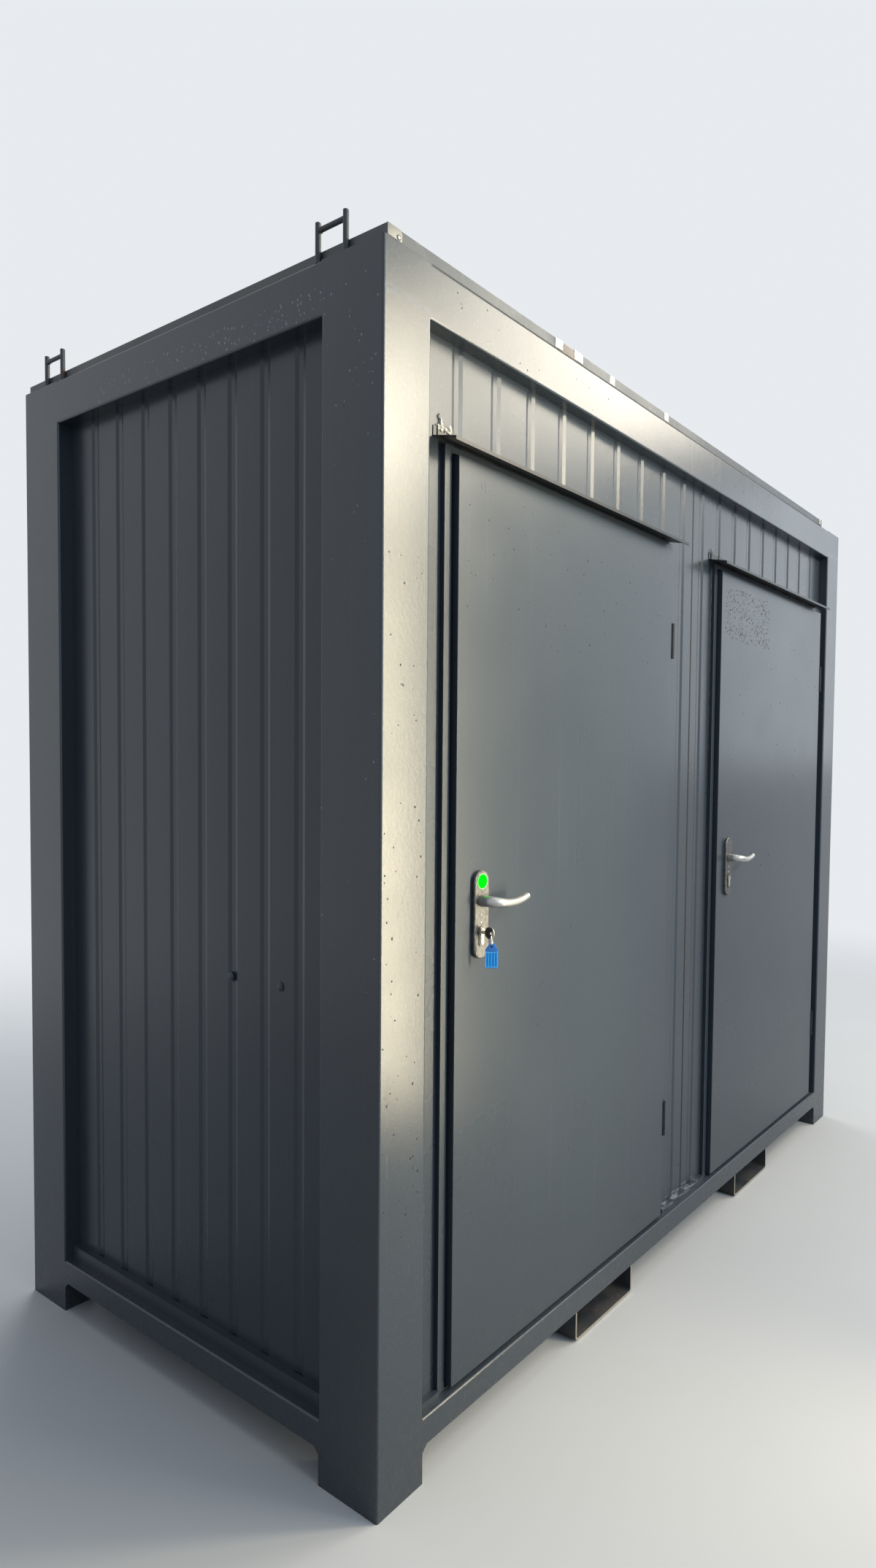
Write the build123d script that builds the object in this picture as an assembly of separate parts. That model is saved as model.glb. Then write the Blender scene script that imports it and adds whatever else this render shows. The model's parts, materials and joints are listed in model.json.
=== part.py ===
from build123d import *
import os

# Portable site cabin with two outward-opening doors, in millimetres.
# While it is modelled, x runs along the front from its left end, y runs from the front face
# to the back, and z is the height above the ground. The save function at the end moves every
# piece so that the origin is on the ground at the middle of the plan, lever handles included.

# Steel frame: corner posts, rails and feet
length = 2740.0
depth = 1440.0
height = 2600.0
post_front_face = 134.0
post_end_face = 181.0
section_wall = 4.0
bend_radius = 5.0
foot_plate = 6.0
top_rail_height = 113.0
ground_clearance = 83.0
bottom_rail_height = 62.0
rail_gusset = 14.0

# Cladding panels, set back from the frame's outer faces
recess = 38.0
wall_thickness = 50.0
groove_width = 36.0
groove_floor = 14.0
groove_depth = 3.0
end_first_groove = 112.5
end_groove_pitch = 120.4
back_groove_pitch = 130.0
left_sheet_first_groove = 124.5
left_sheet_pitch = 134.0
right_sheet_first_groove = 61.5
right_sheet_pitch = 127.0
flashing_sheet = 2.0
flashing_projection = 17.0
end_flashing_height = 38.0
front_flashing_height = 12.0

# Doorways: a frame stands proud of the cladding, and the leaf stands proud of the frame.
# A filler closes the gap between the right doorway's frame and its post
left_strip = 74.0
middle_strip = 300.0
right_filler = 16.0
sheet_joint_from_frame = 156.0
over_door = 224.0
leaf_inset = 10.0
leaf_thickness = 44.0
leaf_edge_radius = 1.5
leaf_lift = 9.0
door_gap = 6.0
jamb_face = 22.0
head_face = 14.0
stop_clearance = 5.0
stop_overlap = 12.0

# Drip canopy above each door
canopy_projection = 30.0
canopy_fall = 13.0
canopy_sheet = 2.0
canopy_rise = 9.0
canopy_flange = 24.0
canopy_lip = 8.0
canopy_left_overhang = 55.0
canopy_right_overhang = 28.0
canopy_from_post = 46.0

# Hinges, two to a door
hinge_length = 107.0
hinge_from_bottom = 308.0
hinge_from_top = 281.0
barrel_radius = 7.5
hinge_pin_radius = 4.0
running_clearance = 0.05
knuckle_gap = 0.5
wing_thickness = 3.0
wing_width = 26.0
wing_clearance = 2.5
web_thickness = 6.0

# Lever handles and locks
backset = 80.0
handle_height = 1073.0
plate_width = 50.0
plate_length = 203.0
plate_thickness = 10.0
plate_edge_chamfer = 2.0
spindle_above_centre = 32.0
lock_centres = 72.0
neck_radius = 9.5
lever_clearance = 0.5
spindle_side = 8.0
spindle_hole_radius = 12.0
lever_root_radius = 14.0
lever_radius = 11.0
lever_tip_radius = 8.5
lever_bend_radius = 26.0
lever_length = 128.0
lever_reach = 62.0
lever_bow = 7.0
lever_dip = 9.0
lever_tip_rise = 2.0
lever_end_chamfer = 3.0
lock_barrel_radius = 8.5
lock_body_width = 10.0
lock_drop = 24.5
lock_proud = 3.0
lock_clearance = 0.3
collar_width = 5.0
collar_height = 2.0
indicator_radius = 18.5
indicator_height = 1.2

# Key, ring and tag that hang from the left door's lock
key_blade_length = 6.0
key_blade_height = 7.0
key_thickness = 2.2
bow_radius = 14.0
bow_hole_radius = 3.5
ring_radius = 13.0
ring_wire_radius = 0.9
ring_width = 1.6
hang_gap = 0.25
tag_width = 30.0
tag_length = 56.0
tag_shoulder = 14.0
tag_neck_width = 12.0
tag_thickness = 3.6
tag_hole_radius = 2.6
tag_turn = 34.0

# Floor, roof, lifting eyes and fork pockets
deck_thickness = 18.0
bearer_count = 5
bearer_width = 50.0
ceiling_thickness = 12.0
ceiling_drop = 100.0
roof_deck_thickness = 3.0
roof_end_inset = 13.0
roof_side_inset = 10.0
tray_right_inset = 216.0
tray_side_inset = 4.0
tray_height = 23.0
tray_sheet = 2.0
roof_rib_pitch = 200.0
roof_rib_width = 60.0
roof_rib_crown = 36.0
roof_rib_height = 14.0
roof_rib_end = 70.0
eye_bar_radius = 6.0
eye_crossbar_radius = 5.5
eye_end_chamfer = 1.5
eye_height = 83.0
eye_crossbar_drop = 17.0
eye_spacing = 84.0
eye_from_side = 157.0
eye_from_end = 6.5
pocket_width = 296.0
pocket_height = 79.0
pocket_sheet = 5.0
pocket_bend = 12.0
pocket_first = 730.0
pocket_spacing = 1036.0

# Places worked out from the sizes above
frame_depth = recess + wall_thickness
rail_top = ground_clearance + bottom_rail_height
soffit = height - top_rail_height
clad_left = post_front_face
clad_right = length - post_front_face
frame_width = (clad_right - clad_left - left_strip - middle_strip - right_filler) / 2
frame_top = soffit - over_door
leaf_width = frame_width - 2 * (jamb_face + door_gap)
leaf_bottom = rail_top + leaf_lift
leaf_top = frame_top - head_face - door_gap
leaf_back = leaf_inset + leaf_thickness
stop_face = leaf_back + stop_clearance
left_leaf = clad_left + left_strip + jamb_face + door_gap
right_leaf = clad_right - right_filler - jamb_face - door_gap - leaf_width
sheet_joint = clad_left + left_strip + frame_width + sheet_joint_from_frame
canopy_height = frame_top + canopy_rise
hinge_side = door_gap + wing_thickness
hinge_back = leaf_inset + web_thickness / 2
frame_setback = hinge_back + barrel_radius + wing_clearance + wing_thickness
plate_face = leaf_inset - plate_thickness
lock_face = plate_face - lock_proud
handle_z = leaf_bottom + handle_height
spindle_z = handle_z + spindle_above_centre
lock_z = spindle_z - lock_centres
room_low = rail_top
roof_base = height + roof_deck_thickness

doors = {"left": left_leaf, "right": right_leaf}
os.makedirs("parts", exist_ok=True)


def save(name, shape):
    shift = Pos(-length / 2, (lever_reach - leaf_inset - depth) / 2, 0)
    export_step(shift * shape, f"parts/{name}.step")


def block(x0, x1, y0, y1, z0, z1):
    return Pos(x0, y0, z0) * Box(x1 - x0, y1 - y0, z1 - z0, align=(Align.MIN,) * 3)


def group(pieces):
    return Compound(list(pieces))


def at_right(shape):
    return mirror(shape, about=Plane.YZ.offset(length / 2))


def at_back(shape):
    return mirror(shape, about=Plane.XZ.offset(-depth / 2))


# What a rounded bend takes off a square corner at the origin, in plan
def corner_waste(radius):
    square = Rectangle(radius, radius, align=(Align.MIN, Align.MIN))
    return square - Pos(radius, radius) * Circle(radius)


# An L-shaped hollow post, closed by a foot plate and a top plate
def corner_post():
    outline = Polyline(
        (0, 0),
        (post_front_face, 0),
        (post_front_face, frame_depth),
        (frame_depth, frame_depth),
        (frame_depth, post_end_face),
        (0, post_end_face),
        close=True,
    )
    face = make_face(outline)
    hollow = offset(face, amount=-section_wall, kind=Kind.INTERSECTION)
    inside = extrude(Pos(0, 0, foot_plate) * hollow, height - foot_plate - section_wall)
    open_height = soffit - rail_top
    bend = corner_waste(bend_radius)
    front_bend = Pos(post_front_face, 0, rail_top) * Rot(0, 0, 90) * extrude(bend, open_height)
    end_bend = Pos(0, post_end_face, rail_top) * Rot(0, 0, -90) * extrude(bend, open_height)
    return extrude(face, height) - inside - extrude(bend, height) - front_bend - end_bend


# A hollow rail's section, drawn across it: its depth, then its height. Front edges are bent,
# apart from the lower edge of a bottom rail, which runs on into the webs at its feet
def rail_section(z0, z1):
    outside = Pos(0, z0) * Rectangle(frame_depth, z1 - z0, align=(Align.MIN, Align.MIN))
    front = outside.vertices().sort_by(Axis.X)[:2].sort_by(Axis.Y)
    walls = fillet(front[1:] if z0 == ground_clearance else front, bend_radius)
    inside = Pos(section_wall, z0 + section_wall) * Rectangle(
        frame_depth - 2 * section_wall, z1 - z0 - 2 * section_wall, align=(Align.MIN, Align.MIN)
    )
    return walls - inside


def rail_x(z0, z1):
    return Pos(clad_left, 0, 0) * extrude(Plane.YZ * rail_section(z0, z1), clad_right - clad_left)


def rail_y(z0, z1):
    run = depth - 2 * post_end_face
    return Pos(0, post_end_face, 0) * extrude(Plane.XZ * rail_section(z0, z1), -run)


# A triangular web under each end of a bottom rail, against the foot
def front_gussets():
    corner = Polyline((0, 0), (rail_gusset, 0), (0, -rail_gusset), close=True)
    web = extrude(Plane.XZ * make_face(corner), -section_wall)
    left = Pos(clad_left, 0, ground_clearance) * web
    return left + at_right(left)


def end_gussets():
    corner = Polyline((0, 0), (rail_gusset, 0), (0, -rail_gusset), close=True)
    web = extrude(Plane.YZ * make_face(corner), section_wall)
    front = Pos(0, post_end_face, ground_clearance) * web
    return front + at_back(front)


def build_frame():
    post = corner_post()
    save("corner_post_front_left", post)
    save("corner_post_front_right", at_right(post))
    save("corner_post_back_left", at_back(post))
    save("corner_post_back_right", at_back(at_right(post)))
    top_x = rail_x(soffit, height)
    top_y = rail_y(soffit, height)
    low_x = rail_x(ground_clearance, rail_top) + front_gussets()
    low_y = rail_y(ground_clearance, rail_top) + end_gussets()
    save("top_rail_front", top_x)
    save("top_rail_back", at_back(top_x))
    save("top_rail_left", top_y)
    save("top_rail_right", at_right(top_y))
    save("bottom_rail_front", low_x)
    save("bottom_rail_back", at_back(low_x))
    save("bottom_rail_left", low_y)
    save("bottom_rail_right", at_right(low_y))


# A panel whose outer sheet has shallow upright grooves, drawn in plan and pulled upwards
def grooved_panel(u0, u1, first, pitch, z0, z1):
    points = [(u0, frame_depth), (u0, recess)]
    centre = first
    while centre + groove_width / 2 < u1:
        if centre - groove_width / 2 > u0:
            points += [
                (centre - groove_width / 2, recess),
                (centre - groove_floor / 2, recess + groove_depth),
                (centre + groove_floor / 2, recess + groove_depth),
                (centre + groove_width / 2, recess),
            ]
        centre += pitch
    points += [(u1, recess), (u1, frame_depth)]
    plan = make_face(Polyline(*points, close=True))
    return extrude(Pos(0, 0, z0) * plan, z1 - z0)


def build_walls():
    run = depth - 2 * post_end_face
    end_panel = grooved_panel(0, run, end_first_groove, end_groove_pitch, rail_top, soffit)
    left_wall = mirror(Rot(0, 0, -90) * end_panel, about=Plane.XZ)
    left_wall = Pos(0, post_end_face, 0) * left_wall
    save("end_wall_left", left_wall)
    save("end_wall_right", at_right(left_wall))
    back_first = clad_left + back_groove_pitch
    back = grooved_panel(clad_left, clad_right, back_first, back_groove_pitch, rail_top, soffit)
    save("back_wall", at_back(back))

    left_first = clad_left + left_sheet_first_groove
    right_first = sheet_joint + right_sheet_first_groove
    frame_1_left = left_leaf - door_gap - jamb_face
    frame_1_right = left_leaf + leaf_width + door_gap + jamb_face
    frame_2_left = right_leaf - door_gap - jamb_face
    left_grooves = (left_first, left_sheet_pitch)
    right_grooves = (right_first, right_sheet_pitch)
    pieces = {
        "front_wall_over_left": (clad_left, sheet_joint, *left_grooves, frame_top, soffit),
        "front_wall_over_right": (sheet_joint, clad_right, *right_grooves, frame_top, soffit),
        "front_wall_beside": (clad_left, frame_1_left, *left_grooves, rail_top, frame_top),
        "front_wall_middle_left": (frame_1_right, sheet_joint, *left_grooves, rail_top, frame_top),
        "front_wall_middle_right": (sheet_joint, frame_2_left, *right_grooves, rail_top, frame_top),
    }
    for name, sizes in pieces.items():
        save(name, grooved_panel(*sizes))

    def strip(u0, u1, rise):
        face = recess - flashing_projection
        upright = block(u0, u1, face, face + flashing_sheet, rail_top, rail_top + rise)
        ledge = block(u0, u1, face, recess, rail_top + rise - flashing_sheet, rail_top + rise)
        return upright + ledge

    end_strip = mirror(Rot(0, 0, -90) * strip(0, run, end_flashing_height), about=Plane.XZ)
    end_strip = Pos(0, post_end_face, 0) * end_strip
    back_strip = at_back(strip(clad_left, clad_right, end_flashing_height))
    front_strips = [
        strip(clad_left, frame_1_left, front_flashing_height),
        strip(frame_1_right, frame_2_left, front_flashing_height),
    ]
    save("foot_flashings", group([end_strip, at_right(end_strip), back_strip] + front_strips))


# A doorway's frame: a rebated ring whose step stops the closed leaf. The right one is
# wider by the filler that closes it against the post
def door_frame(leaf_left):
    leaf_right = leaf_left + leaf_width
    filler = right_filler if leaf_left == right_leaf else 0
    x0 = leaf_left - door_gap - jamb_face
    x1 = leaf_right + door_gap + jamb_face + filler
    ring = block(x0, x1, frame_setback, frame_depth, rail_top, frame_top)
    rebate = block(
        leaf_left - door_gap,
        leaf_right + door_gap,
        frame_setback,
        stop_face,
        leaf_bottom - door_gap,
        leaf_top + door_gap,
    )
    doorway = block(
        leaf_left + stop_overlap,
        leaf_right - stop_overlap,
        frame_setback,
        frame_depth,
        leaf_bottom + stop_overlap,
        leaf_top - stop_overlap,
    )
    return ring - rebate - doorway


def hinge_heights():
    return [leaf_bottom + hinge_from_bottom, leaf_top - hinge_from_top]


# The hollow of a lock's outline: a round barrel over a narrower body
def lock_outline(extra):
    barrel = Circle(lock_barrel_radius + extra)
    body = Pos(0, -lock_drop / 2) * Rectangle(lock_body_width + 2 * extra, lock_drop)
    tail = Pos(0, -lock_drop) * Circle(lock_body_width / 2 + extra)
    return barrel + body + tail


# Pulls a plan drawn in x and z back along y, from y0 to y1
def along_y(plan, x, z, y0, y1):
    return Pos(x, y0, z) * extrude(Plane.XZ * plan, -(y1 - y0))


def leaf(leaf_left):
    leaf_right = leaf_left + leaf_width
    slab = block(leaf_left, leaf_right, leaf_inset, leaf_back, leaf_bottom, leaf_top)
    slab = fillet(slab.edges().filter_by(Axis.Z).sort_by(Axis.Y)[:2], leaf_edge_radius)
    handle_x = leaf_left + backset
    spindle_hole = along_y(Circle(spindle_hole_radius), handle_x, spindle_z, leaf_inset, leaf_back)
    lock_hole = along_y(lock_outline(lock_clearance), handle_x, lock_z, leaf_inset, leaf_back)
    slab = slab - spindle_hole - lock_hole
    for z in hinge_heights():
        slab -= block(
            leaf_right - wing_thickness,
            leaf_right,
            hinge_back - web_thickness / 2,
            hinge_back + wing_width,
            z - hinge_length / 2,
            z + hinge_length / 2,
        )
    return slab


def knuckle(x, z0, z1, bore):
    return Pos(x, hinge_back, z0) * extrude(Circle(barrel_radius) - Circle(bore), z1 - z0)


# The frame's half of a hinge: two outer knuckles on a wing, with the pin through them
def hinge_on_frame(leaf_left, z):
    leaf_right = leaf_left + leaf_width
    x = leaf_right + hinge_side
    low = z - hinge_length / 2
    high = z + hinge_length / 2
    quarter = hinge_length / 4
    wing = block(
        leaf_right + door_gap,
        leaf_right + door_gap + jamb_face - 1,
        frame_setback - wing_thickness,
        frame_setback,
        low,
        high,
    )
    body = wing
    for z0, z1 in ((low, low + quarter), (high - quarter, high)):
        web = block(x - web_thickness / 2, x + barrel_radius, hinge_back, frame_setback, z0, z1)
        body += knuckle(x, z0, z1, hinge_pin_radius - 1) + web
    pin = Pos(x, hinge_back, low) * extrude(Circle(hinge_pin_radius), hinge_length)
    return body + pin


# The leaf's half: the middle knuckle, on a wing let into the leaf's edge
def hinge_on_leaf(leaf_left, z):
    leaf_right = leaf_left + leaf_width
    x = leaf_right + hinge_side
    quarter = hinge_length / 4
    low = z - hinge_length / 2
    high = z + hinge_length / 2
    z0 = low + quarter + knuckle_gap
    z1 = high - quarter - knuckle_gap
    wing = block(
        leaf_right - wing_thickness,
        leaf_right,
        hinge_back - web_thickness / 2,
        hinge_back + wing_width,
        low,
        high,
    )
    web = block(leaf_right - 1, x, hinge_back - web_thickness / 2, hinge_back + web_thickness / 2, z0, z1)
    bore = Pos(x, hinge_back, z0) * extrude(Circle(hinge_pin_radius + running_clearance), z1 - z0)
    return wing + web + knuckle(x, z0, z1, hinge_pin_radius) - bore


# A folded drip canopy: a flange on the wall, a falling leg and a lip
def canopy(leaf_left):
    x0 = leaf_left - canopy_left_overhang
    x1 = min(leaf_left + leaf_width + canopy_right_overhang, clad_right - canopy_from_post)
    back = recess
    front = -canopy_projection
    low = canopy_height - canopy_fall
    t = canopy_sheet
    profile = Polyline(
        (back, canopy_height),
        (back, canopy_height + canopy_flange),
        (back - t, canopy_height + canopy_flange),
        (back - t, canopy_height + t),
        (front, low + t),
        (front, low - canopy_lip + t),
        (front + t, low - canopy_lip + t),
        (front + t, low),
        close=True,
    )
    return Pos(x0, 0, 0) * extrude(Plane.YZ * make_face(profile), x1 - x0)


def handle_plate(leaf_left, outside):
    x = leaf_left + backset
    y0 = plate_face if outside else leaf_back
    outline = SlotOverall(plate_length, plate_width, rotation=90)
    plate = along_y(outline, x, handle_z, y0, y0 + plate_thickness)
    front = plate.faces().sort_by(Axis.Y)[0 if outside else -1]
    plate = chamfer(front.edges(), plate_edge_chamfer)
    collar_y = y0 - collar_height if outside else y0 + plate_thickness
    plate += along_y(lock_outline(collar_width), x, lock_z, collar_y, collar_y + collar_height)
    y1 = y0 + plate_thickness
    plate -= along_y(lock_outline(lock_clearance), x, lock_z, y0 - collar_height, y1 + collar_height)
    plate -= along_y(Circle(neck_radius + running_clearance), x, spindle_z, y0, y0 + plate_thickness)
    return plate


# A round lever that leaves the plate square, bends, dips a little and rises to its tip, and
# tapers all the way from its broad root
def lever(leaf_left, outside):
    x = leaf_left + backset
    side = -1 if outside else 1
    face = leaf_inset if outside else leaf_back
    root = face + side * (plate_thickness + lever_clearance)
    out = face + side * (lever_reach - lever_radius)
    bend = lever_bend_radius
    heading = Vector(1, 0, 0).rotate(Axis.Y, lever_dip)
    start = Vector(x, root, spindle_z)
    bend_start = Vector(x, out - side * bend, spindle_z)
    bend_end = Vector(x, out, spindle_z) + heading * bend
    tip = Vector(x + lever_length, out - side * lever_bow, spindle_z + lever_tip_rise)
    straight = Line(start, bend_start)
    turn = TangentArc(bend_start, bend_end, tangent=(0, side, 0))
    run = TangentArc(bend_end, tip, tangent=heading)
    path = straight + turn + run
    sections = [
        Plane(origin=start, z_dir=(0, side, 0)) * Circle(lever_root_radius),
        Plane(origin=bend_end, z_dir=heading) * Circle(lever_radius),
        Plane(origin=tip, z_dir=run % 1) * Circle(lever_tip_radius),
    ]
    bar = sweep(sections, path=path, multisection=True)
    bar = chamfer(bar.faces().sort_by(Axis.X)[-1].edges(), lever_end_chamfer)
    neck = along_y(Circle(neck_radius), x, spindle_z, min(face, root), max(face, root))
    return bar + neck


def lever_set(leaf_left):
    x = leaf_left + backset
    spindle = along_y(Rectangle(spindle_side, spindle_side), x, spindle_z, leaf_inset, leaf_back)
    return lever(leaf_left, True) + spindle + lever(leaf_left, False)


def lock_cylinder(leaf_left):
    x = leaf_left + backset
    y1 = leaf_back + plate_thickness + lock_proud
    return along_y(lock_outline(0), x, lock_z, lock_face, y1)


def build_doors():
    save("drip_canopies", group(canopy(leaf_left) for leaf_left in doors.values()))
    frame_halves = []
    for side, leaf_left in doors.items():
        save(f"door_frame_{side}", door_frame(leaf_left))
        save(f"door_leaf_{side}", leaf(leaf_left))
        save(f"hinge_leaf_halves_{side}", group(hinge_on_leaf(leaf_left, z) for z in hinge_heights()))
        frame_halves += [hinge_on_frame(leaf_left, z) for z in hinge_heights()]
        save(f"handle_plates_{side}", group(handle_plate(leaf_left, outside) for outside in (True, False)))
        save(f"lever_{side}", lever_set(leaf_left))
        save(f"lock_cylinder_{side}", lock_cylinder(leaf_left))
    save("hinge_frame_halves", group(frame_halves))


def build_key():
    x = left_leaf + backset
    indicator_z = handle_z + plate_length / 2 - plate_width / 2
    disc = along_y(Circle(indicator_radius), x, indicator_z, plate_face - indicator_height, plate_face)
    save("occupancy_indicator", disc)

    bow_y = lock_face - key_blade_length - bow_radius
    blade = Pos(x, lock_face - key_blade_length / 2 - 2, lock_z) * Box(
        key_thickness, key_blade_length + 4, key_blade_height
    )
    bow = Pos(x, bow_y, lock_z) * Rot(0, 90, 0) * Cylinder(bow_radius, key_thickness)
    hole_y = bow_y - bow_radius / 2
    hole = Pos(x, hole_y, lock_z) * Rot(0, 90, 0) * Cylinder(bow_hole_radius, key_thickness + 1)
    ring_top = lock_z - bow_hole_radius + ring_wire_radius + hang_gap
    ring_z = ring_top - ring_radius
    outer = Cylinder(ring_radius + ring_wire_radius, ring_width)
    band = outer - Cylinder(ring_radius - ring_wire_radius, ring_width)
    ring = Pos(x, hole_y, ring_z) * Rot(0, 0, tag_turn) * Rot(90, 0, 0) * band
    save("door_key", group([blade + bow - hole, ring]))

    ring_low = ring_z - ring_radius
    hole_z = ring_low - tag_hole_radius + ring_wire_radius + hang_gap
    shoulder_z = -tag_shoulder
    foot_z = tag_neck_width / 2 - tag_length
    outline = Polyline(
        (-tag_neck_width / 2, tag_neck_width / 2),
        (tag_neck_width / 2, tag_neck_width / 2),
        (tag_width / 2, shoulder_z),
        (tag_width / 2, foot_z),
        (-tag_width / 2, foot_z),
        (-tag_width / 2, shoulder_z),
        close=True,
    )
    plan = make_face(outline) - Circle(tag_hole_radius)
    body = extrude(Plane.YZ * plan, tag_thickness / 2, both=True)
    body = fillet(body.edges().filter_by(Axis.X).filter_by(GeomType.LINE), 1.5)
    save("key_tag", Pos(x, hole_y, hole_z) * Rot(0, 0, tag_turn) * body)


def build_floor_and_roof():
    inner = frame_depth
    deck = block(inner, length - inner, inner, depth - inner, room_low, room_low + deck_thickness)
    save("floor_deck", deck)
    span = length - 2 * inner - bearer_width
    bearers = []
    for index in range(bearer_count):
        x0 = inner + span * index / (bearer_count - 1)
        channel = block(x0, x0 + bearer_width, inner, depth - inner, ground_clearance, rail_top)
        channel -= block(
            x0 + section_wall,
            x0 + bearer_width,
            inner,
            depth - inner,
            ground_clearance + section_wall,
            rail_top - section_wall,
        )
        bearers.append(channel)
    save("floor_bearers", group(bearers))
    ceiling_low = soffit - ceiling_drop
    ceiling = block(
        inner,
        length - inner,
        inner,
        depth - inner,
        ceiling_low,
        ceiling_low + ceiling_thickness,
    )
    save("ceiling_panel", ceiling)

    cover = block(
        roof_end_inset,
        length - roof_end_inset,
        roof_side_inset,
        depth - roof_side_inset,
        height,
        roof_base,
    )
    save("roof_deck", cover)

    x0 = roof_end_inset
    x1 = length - tray_right_inset
    y0 = tray_side_inset
    y1 = depth - tray_side_inset
    top = roof_base + tray_height
    wall = tray_sheet
    sheet = block(x0, x1, y0, y1, roof_base, top)
    sheet -= block(x0 + wall, x1 - wall, y0 + wall, y1 - wall, roof_base, top - wall)
    rib_profile = Polyline(
        (-roof_rib_width / 2, top),
        (-roof_rib_crown / 2, top + roof_rib_height),
        (roof_rib_crown / 2, top + roof_rib_height),
        (roof_rib_width / 2, top),
        close=True,
    )
    rib_length = y1 - y0 - 2 * roof_rib_end
    rib = Pos(0, y0 + roof_rib_end, 0) * extrude(Plane.XZ * make_face(rib_profile), -rib_length)
    centre = x0 + roof_rib_pitch / 2
    while centre + roof_rib_width / 2 < x1:
        sheet += Pos(centre, 0, 0) * rib
        centre += roof_rib_pitch
    save("roof_sheet", sheet)


# A lifting eye: two upright round bars joined by a crossbar below their tops
def lifting_eye():
    x = eye_from_end
    uprights = []
    for y in (eye_from_side - eye_spacing / 2, eye_from_side + eye_spacing / 2):
        bar = Pos(x, y, height) * extrude(Circle(eye_bar_radius), eye_height)
        uprights.append(chamfer(bar.edges().sort_by(Axis.Z)[-1], eye_end_chamfer))
    cross_z = height + eye_height - eye_crossbar_drop
    crossbar = Pos(x, eye_from_side, cross_z) * Rot(90, 0, 0) * Cylinder(eye_crossbar_radius, eye_spacing)
    return uprights[0] + crossbar + uprights[1]


def build_lifting_eyes():
    eye = lifting_eye()
    save("lifting_eyes", group([eye, at_right(eye), at_back(eye), at_back(at_right(eye))]))


# A folded channel under the rails, open at the front and the back for a lifting fork
def fork_pocket(x0):
    low = ground_clearance - pocket_height
    outside = block(x0, x0 + pocket_width, 0, depth, low, ground_clearance)
    outside = fillet(outside.edges().filter_by(Axis.Y).sort_by(Axis.Z)[:2], pocket_bend)
    inside = block(
        x0 + pocket_sheet,
        x0 + pocket_width - pocket_sheet,
        0,
        depth,
        low + pocket_sheet,
        ground_clearance + 1,
    )
    inside = fillet(inside.edges().filter_by(Axis.Y).sort_by(Axis.Z)[:2], pocket_bend - pocket_sheet)
    return outside - inside


def build_pockets():
    save("fork_pockets", group([fork_pocket(pocket_first), fork_pocket(pocket_first + pocket_spacing)]))


build_frame()
build_walls()
build_doors()
build_key()
build_floor_and_roof()
build_lifting_eyes()
build_pockets()
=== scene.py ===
"""The looks of a portable site cabin: anthracite paint, seals, fixings, welds, key and raindrops.

It is laid out as a Blender add-on and run as a script. Every size is in metres, in the frame of
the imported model: x along the front, y from the front to the back, z up from the ground.
"""

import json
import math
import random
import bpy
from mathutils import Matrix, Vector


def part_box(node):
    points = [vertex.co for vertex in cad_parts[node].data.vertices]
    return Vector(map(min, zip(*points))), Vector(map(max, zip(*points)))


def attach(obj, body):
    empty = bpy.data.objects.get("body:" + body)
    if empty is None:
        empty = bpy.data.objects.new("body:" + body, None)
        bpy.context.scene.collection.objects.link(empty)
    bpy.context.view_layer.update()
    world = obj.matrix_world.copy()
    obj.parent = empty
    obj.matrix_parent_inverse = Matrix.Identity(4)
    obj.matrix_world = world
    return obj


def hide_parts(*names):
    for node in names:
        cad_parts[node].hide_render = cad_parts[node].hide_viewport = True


bl_info = {
    "name": "Portable Site Cabin",
    "version": (1, 0, 0),
    "blender": (4, 5, 0),
    "location": "3D View > Sidebar > Cabin",
    "description": "Finishes a steel site cabin with paint, seals, fixings, welds and raindrops",
    "category": "Object",
}

import bmesh
import bpy
from mathutils import Matrix, Vector

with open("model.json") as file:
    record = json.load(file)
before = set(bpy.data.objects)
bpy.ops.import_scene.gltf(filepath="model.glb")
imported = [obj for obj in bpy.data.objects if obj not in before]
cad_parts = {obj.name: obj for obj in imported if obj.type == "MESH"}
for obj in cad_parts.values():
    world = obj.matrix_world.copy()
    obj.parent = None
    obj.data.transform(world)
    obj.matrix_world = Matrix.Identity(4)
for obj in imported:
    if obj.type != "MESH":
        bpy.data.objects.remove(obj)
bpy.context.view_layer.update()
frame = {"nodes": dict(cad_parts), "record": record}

MM = 0.001
SIDES = ("left", "right")
CORNERS = ("front_left", "front_right", "back_left", "back_right")

# Places read from the frame
POST_LOW, POST_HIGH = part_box("corner_post_front_left")
LEFT, FRONT = POST_LOW.xy
FRAME_TOP = POST_HIGH.z
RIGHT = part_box("corner_post_front_right")[1].x
RAIL_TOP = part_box("bottom_rail_front")[1].z
RAIL_BOTTOM = POST_LOW.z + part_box("fork_pockets")[1].z
END_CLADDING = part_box("end_wall_left")[0].x
FRONT_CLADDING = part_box("front_wall_beside")[0].y
SHEET_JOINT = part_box("front_wall_over_left")[1]
ROOM_LOW, ROOM_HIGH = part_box("floor_deck")
DECK_TOP = ROOM_HIGH.z
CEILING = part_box("ceiling_panel")[0].z
ROOF_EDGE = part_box("roof_sheet")[0]
ROOF_RIM = ROOF_EDGE.z + 23 * MM
LOCK_X = (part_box("lock_cylinder_left")[0].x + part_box("lock_cylinder_left")[1].x) / 2
LOCK_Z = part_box("lock_cylinder_left")[1].z - 8.5 * MM

# The key, its ring and its tag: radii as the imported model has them, and teeth and outline in
# millimetres
KEY_BOW = 14 * MM
KEY_HOLE = 3.5 * MM
KEY_RING = 13 * MM
KEY_WIRE = 0.9 * MM
TAG_TURN = math.radians(34)
KEY_TEETH = 5
FIRST_TOOTH = 1.6
TOOTH_PITCH = 2.0
KEY_TOOTH = ((-0.9, -0.7, -4.4), (0.9, 0.7, -3.2))
TAG_OUTLINE = ((-6, 0), (6, 0), (15, -14), (15, -56), (-15, -56), (-15, -14))

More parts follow.
